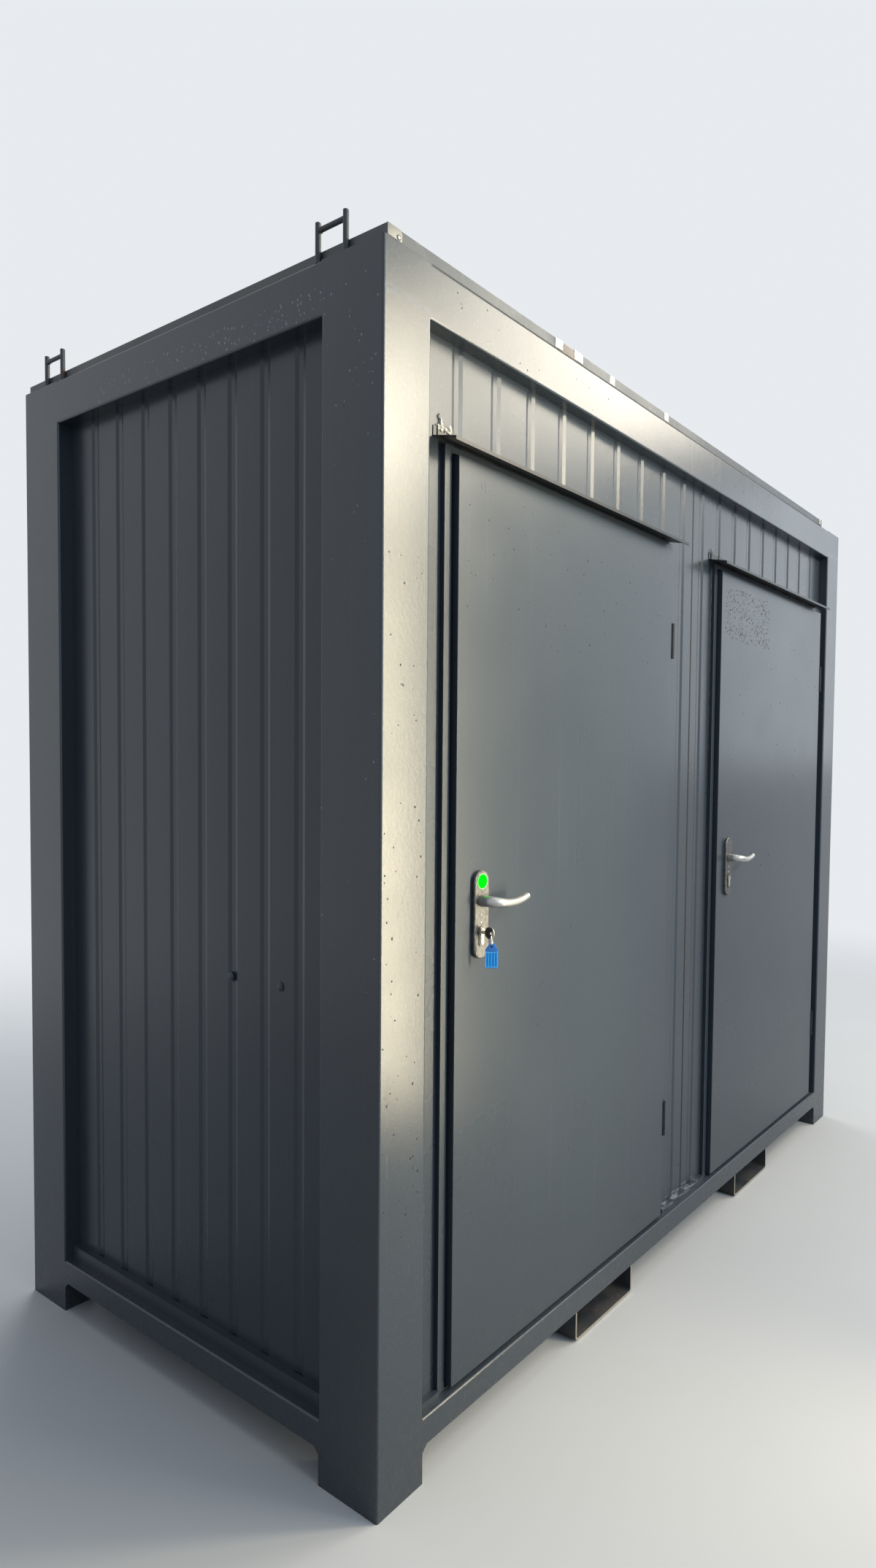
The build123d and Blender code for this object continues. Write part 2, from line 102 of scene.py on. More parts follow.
# Lock parts in millimetres from the leaf's edge at the lock's height: low and high corners, and
# the heights of the forend's screws and of the pips on the handle plates
FOREND = ((-0.6, -8, -95), (1, 8, 140))
LATCH = ((-2.2, -5, 55), (0, 5, 88))
STRIKE = ((-6.5, -8, -60), (-5.4, 10, 110))
FOREND_SCREWS = (128, -83)
PIPS = (22, 40)

# Marks and fixings that the photograph shows: the ground weld's height, where a painted sheen lightens
# its paint, and its reach from each side, the smear's place in x and z with its half sizes, the scuffs'
# middle, the roof stain's ends, and the end wall's bolts by their distance from the front and their
# height
WELD_SHEEN_HEIGHT = 2.500
WELD_SHEEN_REACH = 150 * MM
SMEAR = (LEFT + 1.486, 2.250, 36 * MM, 15 * MM)
SCUFF_X = SHEET_JOINT.x - 0.03
STAIN_X = (LEFT + 0.606, LEFT + 0.664)
END_BOLTS = ((0.541, 1.0565), (0.358, 1.0594))

# Clips on the roof's front edge: first and last distance in metres and thickness in millimetres
ROOF_CLIPS = ((0.578, 0.609, 1.6), (0.661, 0.699, 1.6), (0.833, 0.857, 0.8), (1.139, 1.162, 1.2))

# A corner plate of the roof, across and up in millimetres
CORNER_PLATE = ((0, 0.2), (39, 0.2), (40, 14.26), (37, 23.6), (0, 23.6))

# The camera that the photograph was taken with, in pixels of the photograph, metres and radians
PHOTO_WIDTH = 1200
PHOTO_HEIGHT = 2149
FOCAL_PIXELS = 1239.23
CENTRE_PIXEL = (780.0, 1103.78)
CAMERA_FROM_CORNER = Vector((-1.2691, -1.3284, 1.5663))
CAMERA_YAW = 0.9685
CAMERA_PITCH = -0.0418
CAMERA_ROLL = 0.0144
SENSOR = 36.0

# Torn metal at each canopy's left end: distance from its end, height and lean, in millimetres
CANOPY_TEARS = {
    "left": ((13, 33, -1.5), (46, 24, 0.8)),
    "right": ((14, 40, -1.0), (16, 34, 5.0), (74, 30, 2.0)),
}

# Lumps of sealant on the left canopy: distance from its end, height above it, half sizes in
# millimetres and the phase of their ripples
SEALANT_LUMPS = (
    (24, 2, 12, 8, 0.7),
    (38, -1, 11, 6, 1.9),
    (22, 13, 5.0, 10, 2.6),
    (48, -2, 9, 4, 3.3),
    (18, 23, 3.2, 5, 0.2),
)
SEALANT_FLAP = ((-9, -3), (7, -4), (10, 1), (-2, 5), (-10, 3))

# Hinges with their screws' places and slots, roof screws and lifting eyes
HINGE_LENGTH = 107 * MM
HINGE_SCREWS = (0.14, 0.5, 0.86)
SCREW_SLOT = ((-2.2, -1.1, -0.35), (2.2, -0.8, 0.35))
SCREW_ROW = 35 * MM
EYE_BAR = 6 * MM
EYE_SPACING = 84 * MM
WELD_SEED = 11

# The studio: half the floor's width, where it fades into the backdrop, and the even light
FLOOR_REACH = 30.0
FADE_START = 2.2
FADE_END = 6.5
WORLD_LIGHT = 0.32
WORLD_COLOUR = (0.80, 0.88, 1.0)
BOUNCE = 0.28

# Lamps: place, target, width and height, watts, colour and spread in degrees
LAMPS = {
    "key_lamp": ((-0.02, -2.17, 1.85), (-1.30, -0.69, 2.02), (0.26, 3.3), 30.0, (1.0, 0.88, 0.62), 100),
    "high_lamp": ((3.47, -3.34, 4.93), (-0.6, -0.69, 2.35), (2.0, 1.5), 150.0, (1.0, 0.91, 0.75), 180),
    "groove_lamp": ((0.8, -4.15, 3.75), (-0.6, -0.66, 2.40), (2.2, 0.6), 105.0, (1.0, 0.91, 0.75), 180),
    "right_lamp": ((4.2, -2.3, 2.7), (0.5, -0.66, 2.1), (1.4, 2.2), 18.0, (0.85, 0.93, 1.0), 180),
    "front_lamp": ((-0.6, -7.0, 3.4), (0.2, 0.0, 1.2), (4.0, 4.0), 134.0, (0.56, 0.78, 1.0), 180),
    "top_lamp": ((0.5, 0.5, 7.0), (0.0, 0.0, 0.0), (5.0, 5.0), 220.0, (0.95, 0.97, 1.0), 180),
    "back_lamp": ((3.5, 6.0, 2.6), (0.6, 0.7, 1.2), (3.0, 3.0), 190.0, (0.95, 0.97, 1.0), 180),
}


class Value:
    """One socket of a shader, with Python's operators for its maths."""

    def __init__(self, finish, socket):
        self.finish = finish
        self.socket = socket

    def maths(self, operation, first, second):
        return self.finish.node("Math", {"operation": operation}, {0: first, 1: second})[0]

    def __add__(self, other):
        return self.maths("ADD", self, other)

    __radd__ = __add__

    def __sub__(self, other):
        return self.maths("SUBTRACT", self, other)

    def __rsub__(self, other):
        return self.maths("SUBTRACT", other, self)

    def __mul__(self, other):
        return self.maths("MULTIPLY", self, other)

    __rmul__ = __mul__

    def __truediv__(self, other):
        return self.maths("DIVIDE", self, other)

    def __pow__(self, other):
        return self.maths("POWER", self, other)

    def __abs__(self):
        return self.maths("ABSOLUTE", self, 0.0)


class Graph:
    """A shader's node tree, whose nodes all come from one method."""

    def __init__(self, tree, output):
        self.tree = tree
        self.tree.nodes.clear()
        self.output = self.node(output, {}, {}).made

    def node(self, kind, settings, inputs):
        """Makes a node, sets it up, links or fills its sockets and returns its outputs."""
        made = self.tree.nodes.new("ShaderNode" + kind)
        for key, value in settings.items():
            setattr(made, key, value)
        for key, value in inputs.items():
            socket = self.find(made.inputs, key)
            if isinstance(value, Value):
                self.tree.links.new(value.socket, socket)
            else:
                socket.default_value = value
        return Outputs(self, made)

    @staticmethod
    def find(sockets, key):
        if isinstance(key, int):
            return sockets[key]
        return next(s for s in sockets if s.name == key and s.enabled)

    def seen(self):
        """1 for rays that show the background: straight, mirrored or through something clear."""
        rays = self.node("LightPath", {}, {})
        return rays["Is Camera Ray"] + rays["Is Glossy Ray"] + rays["Is Transmission Ray"]

    def either(self, first, second, factor):
        """The first shader where the factor is 0 and the second where it is 1."""
        return self.node("MixShader", {}, {"Fac": factor, 1: first, 2: second})["Shader"]

    def show(self, shader):
        self.tree.links.new(shader.socket, self.output.inputs["Surface"])


class Finish(Graph):
    """A material that is laid out on the object's own coordinates."""

    def __init__(self, name):
        self.material = bpy.data.materials.new(name)
        self.material.use_nodes = True
        super().__init__(self.material.node_tree, "OutputMaterial")
        self.position = self.node("TexCoord", {}, {})["Object"]
        parts = self.node("SeparateXYZ", {}, {"Vector": self.position})
        self.x = parts["X"]
        self.y = parts["Y"]
        self.z = parts["Z"]

    def stretched(self, x, y, z):
        """The position with each axis multiplied, so that a pattern is finer along it."""
        made = self.node("VectorMath", {"operation": "MULTIPLY"}, {0: self.position, 1: (x, y, z)})
        return made["Vector"]

    def noise(self, scale, detail=3.0, at=None, roughness=0.5):
        inputs = {"Vector": at or self.position, "Scale": scale, "Detail": detail, "Roughness": roughness}
        return self.node("TexNoise", {}, inputs)[0]

    def spots(self, scale, radius, share):
        """Round spots of that radius in metres, in that share of the cells."""
        cells = self.node("TexVoronoi", {}, {"Vector": self.position, "Scale": scale})
        inside = self.step(cells["Distance"], radius * scale, radius * scale * 0.55)
        chance = self.node("SeparateColor", {}, {"Color": cells["Color"]})["Red"]
        return inside * self.step(chance, 1.0 - share, 1.0 - share + 0.01)

    def step(self, value, low, high):
        """A smooth step from 0 at low to 1 at high."""
        inputs = {"Value": value, "From Min": low, "From Max": high}
        return self.node("MapRange", {"interpolation_type": "SMOOTHSTEP"}, inputs)["Result"]

    def mix(self, first, second, factor):
        """first where the factor is 0 and second where it is 1."""
        inputs = {"Factor": factor, "A": as_colour(first), "B": as_colour(second)}
        return self.node("Mix", {"data_type": "RGBA"}, inputs)["Result"]

    def bump(self, height):
        """Surface relief from a height in metres."""
        return self.node("Bump", {}, {"Strength": 1.0, "Distance": 1.0, "Height": height})["Normal"]

    def surface(self, colour, roughness, relief=None, **inputs):
        """The surface shader, with its relief as a height in metres. Other names use _ for a space."""
        named = {key.replace("_", " "): value for key, value in inputs.items()}
        named["Base Color"] = as_colour(colour)
        named["Roughness"] = roughness
        if relief is not None:
            named["Normal"] = self.bump(relief)
        self.show(self.node("BsdfPrincipled", {}, named)["BSDF"])
        return self.material


class Outputs:
    """The outputs of one node, by name or by number."""

    def __init__(self, finish, made):
        self.finish = finish
        self.made = made

    def __getitem__(self, key):
        return Value(self.finish, Finish.find(self.made.outputs, key))


def as_colour(value):
    """A colour with its alpha, from three numbers, four numbers or a socket."""
    if isinstance(value, Value):
        return value
    return (*value[:3], 1.0)


def shade(colour, factor):
    """The same colour, darker or lighter."""
    return tuple(min(1.0, part * factor) for part in colour[:3])


def colour_property(name, description, default):
    """A colour that a user may change."""
    return bpy.props.FloatVectorProperty(
        name=name, description=description, subtype="COLOR", size=3, min=0.0, max=1.0, default=default
    )


def length_property(name, description, default, low):
    """A length that a user may change."""
    return bpy.props.FloatProperty(
        name=name, description=description, subtype="DISTANCE", unit="LENGTH", min=low, default=default
    )


class CabinColours(bpy.types.PropertyGroup):
    """The colours of the cabin's finishes."""

    paint: colour_property("Paint", "Anthracite paint of the whole cabin", (0.038, 0.050, 0.065))
    mud: colour_property("Road dirt", "Dirt splashed on near the ground", (0.100, 0.088, 0.075))
    dust: colour_property("Dust", "Pale dust and dried rain on the paint", (0.30, 0.29, 0.26))
    steel: colour_property("Stainless steel", "Satin steel of handles and plates", (0.60, 0.60, 0.58))
    liner: colour_property("Inner lining", "White lining of the room", (0.72, 0.73, 0.71))
    indicator: colour_property("Indicator", "Green disc above the left lever", (0.0, 0.62, 0.005))
    tag: colour_property("Key tag", "Clear blue plastic of the key tag", (0.006, 0.15, 0.48))
    floor: colour_property("Studio floor", "Plain pale floor under the cabin", (0.56, 0.57, 0.58))
    backdrop: colour_property("Backdrop", "Plain pale background behind the cabin", (0.80, 0.83, 0.86))


class CabinSizes(bpy.types.PropertyGroup):
    """Sizes of the fixings and seals."""

    bolt_radius: length_property("Bolt head", "Radius of a bolt head on the end wall", 0.0095, 0.001)
    seal_width: length_property("Seal", "Width of the rubber seal round a doorway", 0.009, 0.001)
    weld_radius: length_property("Weld", "Leg of a weld bead", 0.0035, 0.0005)
    roof_screw_spacing: length_property(
        "Roof screws", "Distance between screws along the roof's edges", 0.30, 0.05
    )
    drop_radius: length_property("Raindrop", "Radius of the largest raindrops", 0.0028, 0.0005)
    rain_seed: bpy.props.IntProperty(
        name="Rain seed", description="Start of the raindrops' random places", default=7
    )


def colours():
    return bpy.context.scene.cabin_colours


def sizes():
    return bpy.context.scene.cabin_sizes


# Finishes

def paint(
    name, tone=1.0, roughness=0.28, canning=0.0009, gloss=0.35, lined=False, smear=None, weld_sheen_height=None,
    scuffed=False,
):
    """Satin anthracite paint on sheet steel, with dust, drip marks, chips and road dirt."""
    finish = Finish(name)
    base = shade(colours().paint, tone)
    cloudy = finish.noise(2.6, 4.0)
    colour = finish.mix(shade(base, 0.90), shade(base, 1.12), cloudy)
    grain = finish.noise(260.0, 3.0)
    colour = finish.mix(colour, shade(base, 1.7), finish.step(grain, 0.50, 0.78) * 0.45)
    runs = finish.noise(1.0, 3.0, at=finish.stretched(70.0, 70.0, 1.1))
    dusty = finish.step(runs, 0.56, 0.82) * finish.step(finish.noise(1.3, 2.0), 0.35, 0.75)
    colour = finish.mix(colour, colours().dust, dusty * 0.075)
    specks = finish.spots(60.0, 0.0013, 0.06)
    colour = finish.mix(colour, colours().dust, specks * 0.5)
    chips = finish.spots(11.0, 0.0020, 0.26)
    colour = finish.mix(colour, shade(base, 0.25), chips * 0.85)
    splash = finish.step(finish.z + finish.noise(7.0, 5.0) * 0.35, 0.50, 0.12)
    spatter = finish.step(finish.noise(55.0, 4.0), 0.42, 0.68)
    mud = splash * (spatter * 0.22 + 0.05)
    colour = finish.mix(colour, colours().mud, mud)
    rough = finish.noise(5.0, 3.0) * 0.10 + (roughness - 0.05) + mud * 0.15 + dusty * 0.03 + chips * 0.55
    # A ground weld along the top rail: its paint is lightened as a painted sheen, and is a little
    # smoother
    if weld_sheen_height:
        painted_weld_sheen = weld_sheen_mask(finish, weld_sheen_height)
        colour = finish.mix(colour, shade(base, 2.2), painted_weld_sheen * 0.5)
        rough = rough - painted_weld_sheen * 0.03
    if smear:
        colour = finish.mix(colour, (0.020, 0.024, 0.016), smear_mask(finish, smear))
    if scuffed:
        colour = finish.mix(colour, (0.25, 0.28, 0.32), scuff_mask(finish) * 0.85)
    peel = finish.noise(120.0, 3.0) * 0.00016
    relief = peel + finish.noise(2.1, 2.0) * canning - chips * 0.0001 + mud * 0.00005
    if lined:
        inside = room_mask(finish)
        colour = finish.mix(colour, colours().liner, inside)
        rough = rough + inside * 0.12
    return finish.surface(colour, rough, relief, Specular_IOR_Level=gloss)


def weld_sheen_mask(finish, height):
    """A painted sheen on the ground weld between the front posts and the top rail, at that height."""
    off = abs(finish.z + finish.noise(9.0, 3.0) * 0.02 - (height + 0.01))
    beside = finish.step(abs(finish.x), RIGHT - WELD_SHEEN_REACH, RIGHT - WELD_SHEEN_REACH + 25 * MM)
    front = finish.step(finish.y, FRONT + 1.0 * MM, FRONT + 0.5 * MM)
    broken = finish.step(finish.noise(30.0, 4.0), 0.25, 0.6)
    return finish.step(off, 0.013, 0.003) * beside * front * broken


def smear_mask(finish, smear):
    """A dark smear on the front: its place in x and z and its two half widths."""
    x, z, half_width, half_height = smear
    across = (finish.x - x) / half_width
    up = (finish.z - z) / half_height
    reach = across * across + up * up + finish.noise(60.0, 4.0) * 0.9
    return finish.step(reach, 1.35, 0.45) * 0.75


def scuff_mask(finish):
    """Pale scuffs at the foot of the wall between the doors."""
    streaks = finish.step(finish.noise(1.0, 4.0, at=finish.stretched(24.0, 24.0, 420.0)), 0.48, 0.56)
    low = finish.step(abs(finish.z - (RAIL_TOP + 15 * MM)), 15 * MM, 10 * MM)
    near = finish.step(abs(finish.x - SCUFF_X), 0.15, 0.09)
    front = finish.step(finish.y, FRONT_CLADDING + MM, FRONT_CLADDING + 0.5 * MM)
    return streaks * low * near * front


def room_mask(finish):
    """1 on surfaces that face the room, and 0 outside."""
    margin = 0.4 * MM
    across = finish.step(abs(finish.x), ROOM_HIGH.x + 2 * margin, ROOM_HIGH.x + margin)
    front = finish.step(finish.y, ROOM_LOW.y - 2 * margin, ROOM_LOW.y - margin)
    back = finish.step(finish.y, ROOM_HIGH.y + 2 * margin, ROOM_HIGH.y + margin)
    over = finish.step(finish.z, DECK_TOP - 2 * MM, DECK_TOP - MM)
    under = finish.step(finish.z, CEILING + 2 * MM, CEILING + MM)
    return across * front * back * over * under


def mottled(name, dark, light, pattern, rough, relief=None, stretch=None, **inputs):
    """Two tones in one noise: its scale and detail, the least roughness and the noise's share of it."""
    finish = Finish(name)
    noise = finish.noise(*pattern, at=finish.stretched(*stretch) if stretch else None)
    least, share = rough
    height = noise * relief if relief else None
    return finish.surface(finish.mix(dark, light, noise), noise * share + least, height, **inputs)


def stainless(name):
    """Satin steel with fine polishing lines along its length and small handling marks."""
    finish = Finish(name)
    lines = finish.noise(1.0, 3.0, at=finish.stretched(60.0, 900.0, 1400.0))
    marks = finish.noise(160.0, 4.0)
    base = colours().steel
    colour = finish.mix(shade(base, 0.60), shade(base, 0.78), marks)
    rough = lines * 0.12 + finish.step(marks, 0.45, 0.7) * 0.10 + 0.30
    return finish.surface(colour, rough, lines * 0.000001 + marks * 0.000001, Metallic=1.0)


def brushed_plate(name):
    """The handle plate: brushed along its height, mottled by fingers, duller than the levers, and its
    steel darker than theirs as a painted shade.
    """
    finish = Finish(name)
    lines = finish.noise(1.0, 3.0, at=finish.stretched(1300.0, 1300.0, 45.0))
    blotches = finish.noise(95.0, 5.0)
    base = colours().steel
    # Painted shade: the plate's steel is made much darker than the levers' steel
    colour = finish.mix(shade(base, 0.15), shade(base, 0.27), finish.step(blotches, 0.3, 0.7))
    rough = lines * 0.14 + blotches * 0.16 + 0.30
    return finish.surface(colour, rough, lines * 0.000006 + blotches * 0.00001, Metallic=0.9)


def nickel(name, tone=1.0):
    """Plated lock metal with wear."""
    base = shade((0.56, 0.53, 0.46), tone)
    return mottled(name, shade(base, 0.75), base, (220.0, 4.0), (0.20, 0.18), 0.00001, Metallic=1.0)


def rubber(name):
    """Black extruded rubber with a dull skin."""
    dark = (0.010, 0.010, 0.011)
    light = (0.022, 0.022, 0.023)
    return mottled(name, dark, light, (1.0, 2.0), (0.50, 0.20), 0.00005, (90.0, 90.0, 9.0))


def base_steel(name):
    """Thin dark paint on underframe steel, with rust where it is thin and bare cut ends."""
    finish = Finish(name)
    base = shade(colours().paint, 0.72)
    cloudy = finish.noise(9.0, 5.0)
    colour = finish.mix(shade(base, 0.7), shade(base, 1.25), cloudy)
    rust = finish.step(finish.noise(23.0, 6.0, roughness=0.65), 0.56, 0.70)
    colour = finish.mix(colour, (0.115, 0.045, 0.018), rust * 0.65)
    low = finish.step(finish.z, 0.10, 0.0)
    colour = finish.mix(colour, colours().mud, low * finish.step(cloudy, 0.35, 0.7) * 0.55)
    end = finish.step(finish.y, FRONT + 1.2 * MM, FRONT + 0.6 * MM)
    cut = end * finish.step(finish.z, RAIL_BOTTOM + 2 * MM, RAIL_BOTTOM + MM)
    bright = finish.mix((0.42, 0.36, 0.27), (0.66, 0.62, 0.52), finish.noise(130.0, 4.0))
    colour = finish.mix(colour, bright, cut)
    rough = cloudy * 0.25 + rust * 0.25 + 0.38 - cut * 0.15
    relief = cloudy * 0.0002 + rust * 0.0002 + finish.noise(300.0, 2.0) * 0.00004
    return finish.surface(colour, rough, relief, Metallic=cut * 0.9)


def roof_sheet_paint(name):
    """The roof's sheet: faded paint with dried puddles and dust, and a pale worn rim."""
    finish = Finish(name)
    base = shade(colours().paint, 1.12)
    cloudy = finish.noise(3.2, 6.0)
    colour = finish.mix(shade(base, 0.85), shade(base, 1.2), cloudy)
    puddles = finish.step(finish.noise(4.5, 5.0), 0.44, 0.68)
    up = finish.step(finish.z, ROOF_RIM - 1.5 * MM, ROOF_RIM - 0.5 * MM)
    colour = finish.mix(colour, colours().dust, puddles * up * 0.15)
    worn = finish.step(finish.noise(38.0, 5.0), 0.55, 0.72)
    colour = finish.mix(colour, colours().dust, worn * 0.10)
    start, stop = STAIN_X
    stain = finish.step(finish.x, start, start + 7 * MM) * finish.step(finish.x, stop, stop - 6 * MM)
    dusty_end = finish.step(abs(finish.x + 0.5 * MM), -ROOF_EDGE.x - 1.5 * MM, -ROOF_EDGE.x - 1.0 * MM)
    colour = finish.mix(colour, colours().dust, dusty_end * 0.34)
    edge = finish.step(finish.y, ROOF_EDGE.y + 30 * MM, ROOF_EDGE.y + 20 * MM)
    colour = finish.mix(colour, (0.17, 0.13, 0.09), stain * edge * (worn * 0.3 + 0.5))
    rough = cloudy * 0.15 + puddles * 0.12 + 0.34
    relief = finish.noise(2.4, 3.0) * 0.0012 + finish.noise(210.0, 2.0) * 0.00011
    return finish.surface(colour, rough, relief, Specular_IOR_Level=0.35)


def floor_boards(name):
    """Grey speckled floor covering above, and plywood underneath."""
    finish = Finish(name)
    top = finish.step(finish.z, DECK_TOP - MM, DECK_TOP - 0.5 * MM)
    grain = finish.noise(1.0, 5.0, at=finish.stretched(3.0, 60.0, 60.0))
    wood = finish.mix((0.23, 0.15, 0.085), (0.36, 0.25, 0.15), grain)
    speckle = finish.spots(260.0, 0.0011, 0.5)
    vinyl = finish.mix((0.17, 0.175, 0.18), (0.30, 0.30, 0.30), speckle * 0.7)
    scuffs = finish.step(finish.noise(14.0, 5.0), 0.55, 0.75)
    vinyl = finish.mix(vinyl, (0.10, 0.095, 0.09), scuffs * 0.35)
    colour = finish.mix(wood, vinyl, top)
    rough = grain * 0.2 + 0.48 - top * 0.10
    return finish.surface(colour, rough, grain * 0.0001)


def ceiling_paint(name):
    """White ceiling lining with a faint texture."""
    liner = colours().liner
    return mottled(name, shade(liner, 0.96), liner, (110.0, 3.0), (0.5, 0.1), 0.00004)


def indicator_plastic(name, centre):
    """A green disc with a paler ring and a pale rim, printed round its centre, and a painted glow."""
    finish = Finish(name)
    across = finish.x - centre.x
    up = finish.z - centre.z
    radius = (across * across + up * up) ** 0.5
    green = colours().indicator
    ring = finish.step(radius, 15.0 * MM, 15.8 * MM)
    rim = finish.step(radius, 17.3 * MM, 17.8 * MM)
    colour = finish.mix(green, (0.10, 0.66, 0.10), ring)
    colour = finish.mix(colour, (0.50, 0.58, 0.48), rim)
    fine = finish.noise(300.0, 3.0)
    # Painted glow: the disc gives off a little green light, though it is no lamp
    painted_glow = finish.mix((0.0, 0.0, 0.0), green, (1.0 - rim) * 0.25)
    return finish.surface(
        colour, fine * 0.1 + 0.40, fine * 0.00001, Specular_IOR_Level=0.0,
        Emission_Color=painted_glow, Emission_Strength=0.6,
    )


def clear_plastic(name, colour, alpha=0.86):
    """Clear coloured plastic with mould marks and a painted glow in its own colour."""
    finish = Finish(name)
    cloudy = finish.noise(90.0, 3.0)
    tone = finish.mix(shade(colour, 0.75), shade(colour, 1.25), cloudy)
    # Painted glow: the plastic gives off light in its own colour, though it is no lamp
    return finish.surface(
        tone, cloudy * 0.12 + 0.12, cloudy * 0.00003, Alpha=alpha, Coat_Weight=0.4,
        Emission_Color=tone, Emission_Strength=0.35,
    )


def slip_paper_with_glow(name):
    """The blank slip behind a key tag's window, coloured blue, with a painted glow in that blue."""
    finish = Finish(name)
    fibres = finish.noise(700.0, 4.0)
    colour = finish.mix((0.004, 0.20, 0.58), (0.006, 0.25, 0.68), fibres)
    # Painted glow: the slip gives off blue light, though it is no lamp
    return finish.surface(
        colour, fibres * 0.1 + 0.6, fibres * 0.00002, Emission_Color=colour, Emission_Strength=0.35
    )


def sealant(name, tone=1.0):
    """White or greyed sealant that has been smeared by a finger."""
    dark = shade((0.40, 0.39, 0.35), tone)
    light = shade((0.60, 0.58, 0.53), tone)
    return mottled(name, dark, light, (1.0, 4.0), (0.3, 0.2), 0.0004, (300.0, 300.0, 90.0))


def bright_metal(name):
    """Bare galvanised metal of clips and screws."""
    dark = (0.50, 0.50, 0.48)
    light = (0.76, 0.76, 0.73)
    return mottled(name, dark, light, (140.0, 3.0), (0.30, 0.20), 0.00002, Metallic=0.8)


def galvanised(name):
    """Pale zinc on thin steel, dulled by weather."""
    dark = (0.15, 0.15, 0.14)
    light = (0.25, 0.25, 0.235)
    return mottled(name, dark, light, (120.0, 4.0), (0.42, 0.20), 0.00002, Metallic=0.15)


def grip_plastic(name):
    """Dark brown-grey plastic of the key's grip, polished by fingers."""
    dark = (0.045, 0.045, 0.040)
    light = (0.080, 0.079, 0.068)
    return mottled(name, dark, light, (150.0, 3.0), (0.28, 0.15), 0.00004)


def weld_paint(name):
    """Paint over a rippled weld."""
    base = colours().paint
    return mottled(name, shade(base, 0.7), shade(base, 1.15), (420.0, 3.0), (0.38, 0.15), 0.0004)


def dark_void(name):
    """The unlit inside of a slot or hole."""
    return mottled(name, (0.004, 0.004, 0.004), (0.010, 0.010, 0.010), (200.0, 2.0), (0.7, 0.1))


def water(name, colour):
    """A drop of rain in the given colour: dark like the wet paint that shows through it, or pale as a
    painted highlight.
    """
    finish = Finish(name)
    return finish.surface(colour, finish.noise(900.0, 2.0) * 0.04 + 0.04, IOR=1.333)


# Mesh helpers

def mm(x, y, z):
    """A step in millimetres."""
    return Vector((x, y, z)) * MM


def add_object(name, data):
    """An object with that data, in the scene."""
    made = bpy.data.objects.new(name, data)
    bpy.context.scene.collection.objects.link(made)
    return made


def edges_of(verts):
    """All edges that touch those corners."""
    return {edge for vert in verts for edge in vert.link_edges}


def finish_piece(bm, name, material, body, sharp=35.0):
    """Turns a bmesh into a piece that rides on a body."""
    bmesh.ops.remove_doubles(bm, verts=bm.verts, dist=0.01 * MM)
    bmesh.ops.recalc_face_normals(bm, faces=bm.faces)
    mesh = bpy.data.meshes.new(name)
    bm.to_mesh(mesh)
    bm.free()
    mesh.shade_smooth()
    mesh.set_sharp_from_angle(angle=math.radians(sharp))
    mesh.materials.append(material)
    piece = add_object(name, mesh)
    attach(piece, body)
    return piece


def add_box(bm, low, high, bevel=0.0):
    """A box between two corners, with its edges rounded."""
    low = Vector(low)
    high = Vector(high)
    size = high - low
    place = Matrix.Translation((low + high) / 2) @ Matrix.Diagonal((*size, 1.0))
    made = bmesh.ops.create_cube(bm, size=1.0, matrix=place)
    if bevel:
        round_edges(bm, edges_of(made["verts"]), bevel)


def add_box_at(bm, place, low, high, bevel=0.0):
    """A box whose corners and rounding are in millimetres from a place."""
    add_box(bm, place + mm(*low), place + mm(*high), bevel * MM)


def round_edges(bm, edges, radius, segments=2):
    """Rounds those edges."""
    bmesh.ops.bevel(
        bm, geom=list(edges), offset=radius, segments=segments, profile=0.5, affect="EDGES", material=-1
    )


def pull(bm, faces, move):
    """Pulls faces out to the move, keeps them as the near side and returns the far corners."""
    pulled = bmesh.ops.extrude_face_region(bm, geom=faces, use_keep_orig=True)
    far = [item for item in pulled["geom"] if isinstance(item, bmesh.types.BMVert)]
    bmesh.ops.translate(bm, verts=far, vec=move)
    return far


def turned(centre, axis):
    """A place whose z points along the axis."""
    return Matrix.Translation(centre) @ Vector(axis).to_track_quat("Z", "Y").to_matrix().to_4x4()


def add_cylinder(bm, centre, axis, radius, depth, segments=24):
    """A capped cylinder that starts at centre and runs along the axis."""
    place = turned(centre, axis) @ Matrix.Translation((0, 0, depth / 2))
    bmesh.ops.create_cone(
        bm, cap_ends=True, segments=segments, radius1=radius, radius2=radius, depth=depth, matrix=place
    )


def add_dome(bm, centre, axis, radius, height, rings=6, segments=20):
    """A low dome on a surface: half of a flattened ball, closed underneath."""
    place = turned(centre, axis) @ Matrix.Diagonal((radius, radius, height, 1.0))
    made = bmesh.ops.create_uvsphere(
        bm, u_segments=segments, v_segments=rings * 2, radius=1.0, matrix=place
    )
    verts = made["verts"]
    faces = {face for vert in verts for face in vert.link_faces}
    edges = edges_of(verts)
    cut = bmesh.ops.bisect_plane(
        bm, geom=list(faces) + list(edges) + list(verts), plane_co=centre,
        plane_no=Vector(axis), clear_inner=True,
    )
    rim = [item for item in cut["geom_cut"] if isinstance(item, bmesh.types.BMEdge)]
    bmesh.ops.holes_fill(bm, edges=rim, sides=0)


def add_ring(bm, centre, axis, radius, wire, steps=40, segments=10):
    """A round wire bent into a closed ring."""
    place = turned(centre, axis)
    circle = bmesh.ops.create_circle(
        bm, segments=segments, radius=wire,
        matrix=place @ Matrix.Translation((radius, 0, 0)) @ Matrix.Rotation(math.pi / 2, 4, "X"),
    )
    edges = edges_of(circle["verts"])
    bmesh.ops.spin(
        bm, geom=list(circle["verts"]) + list(edges), cent=centre, axis=Vector(axis),
        angle=2 * math.pi, steps=steps, use_merge=True, use_duplicate=False,
    )


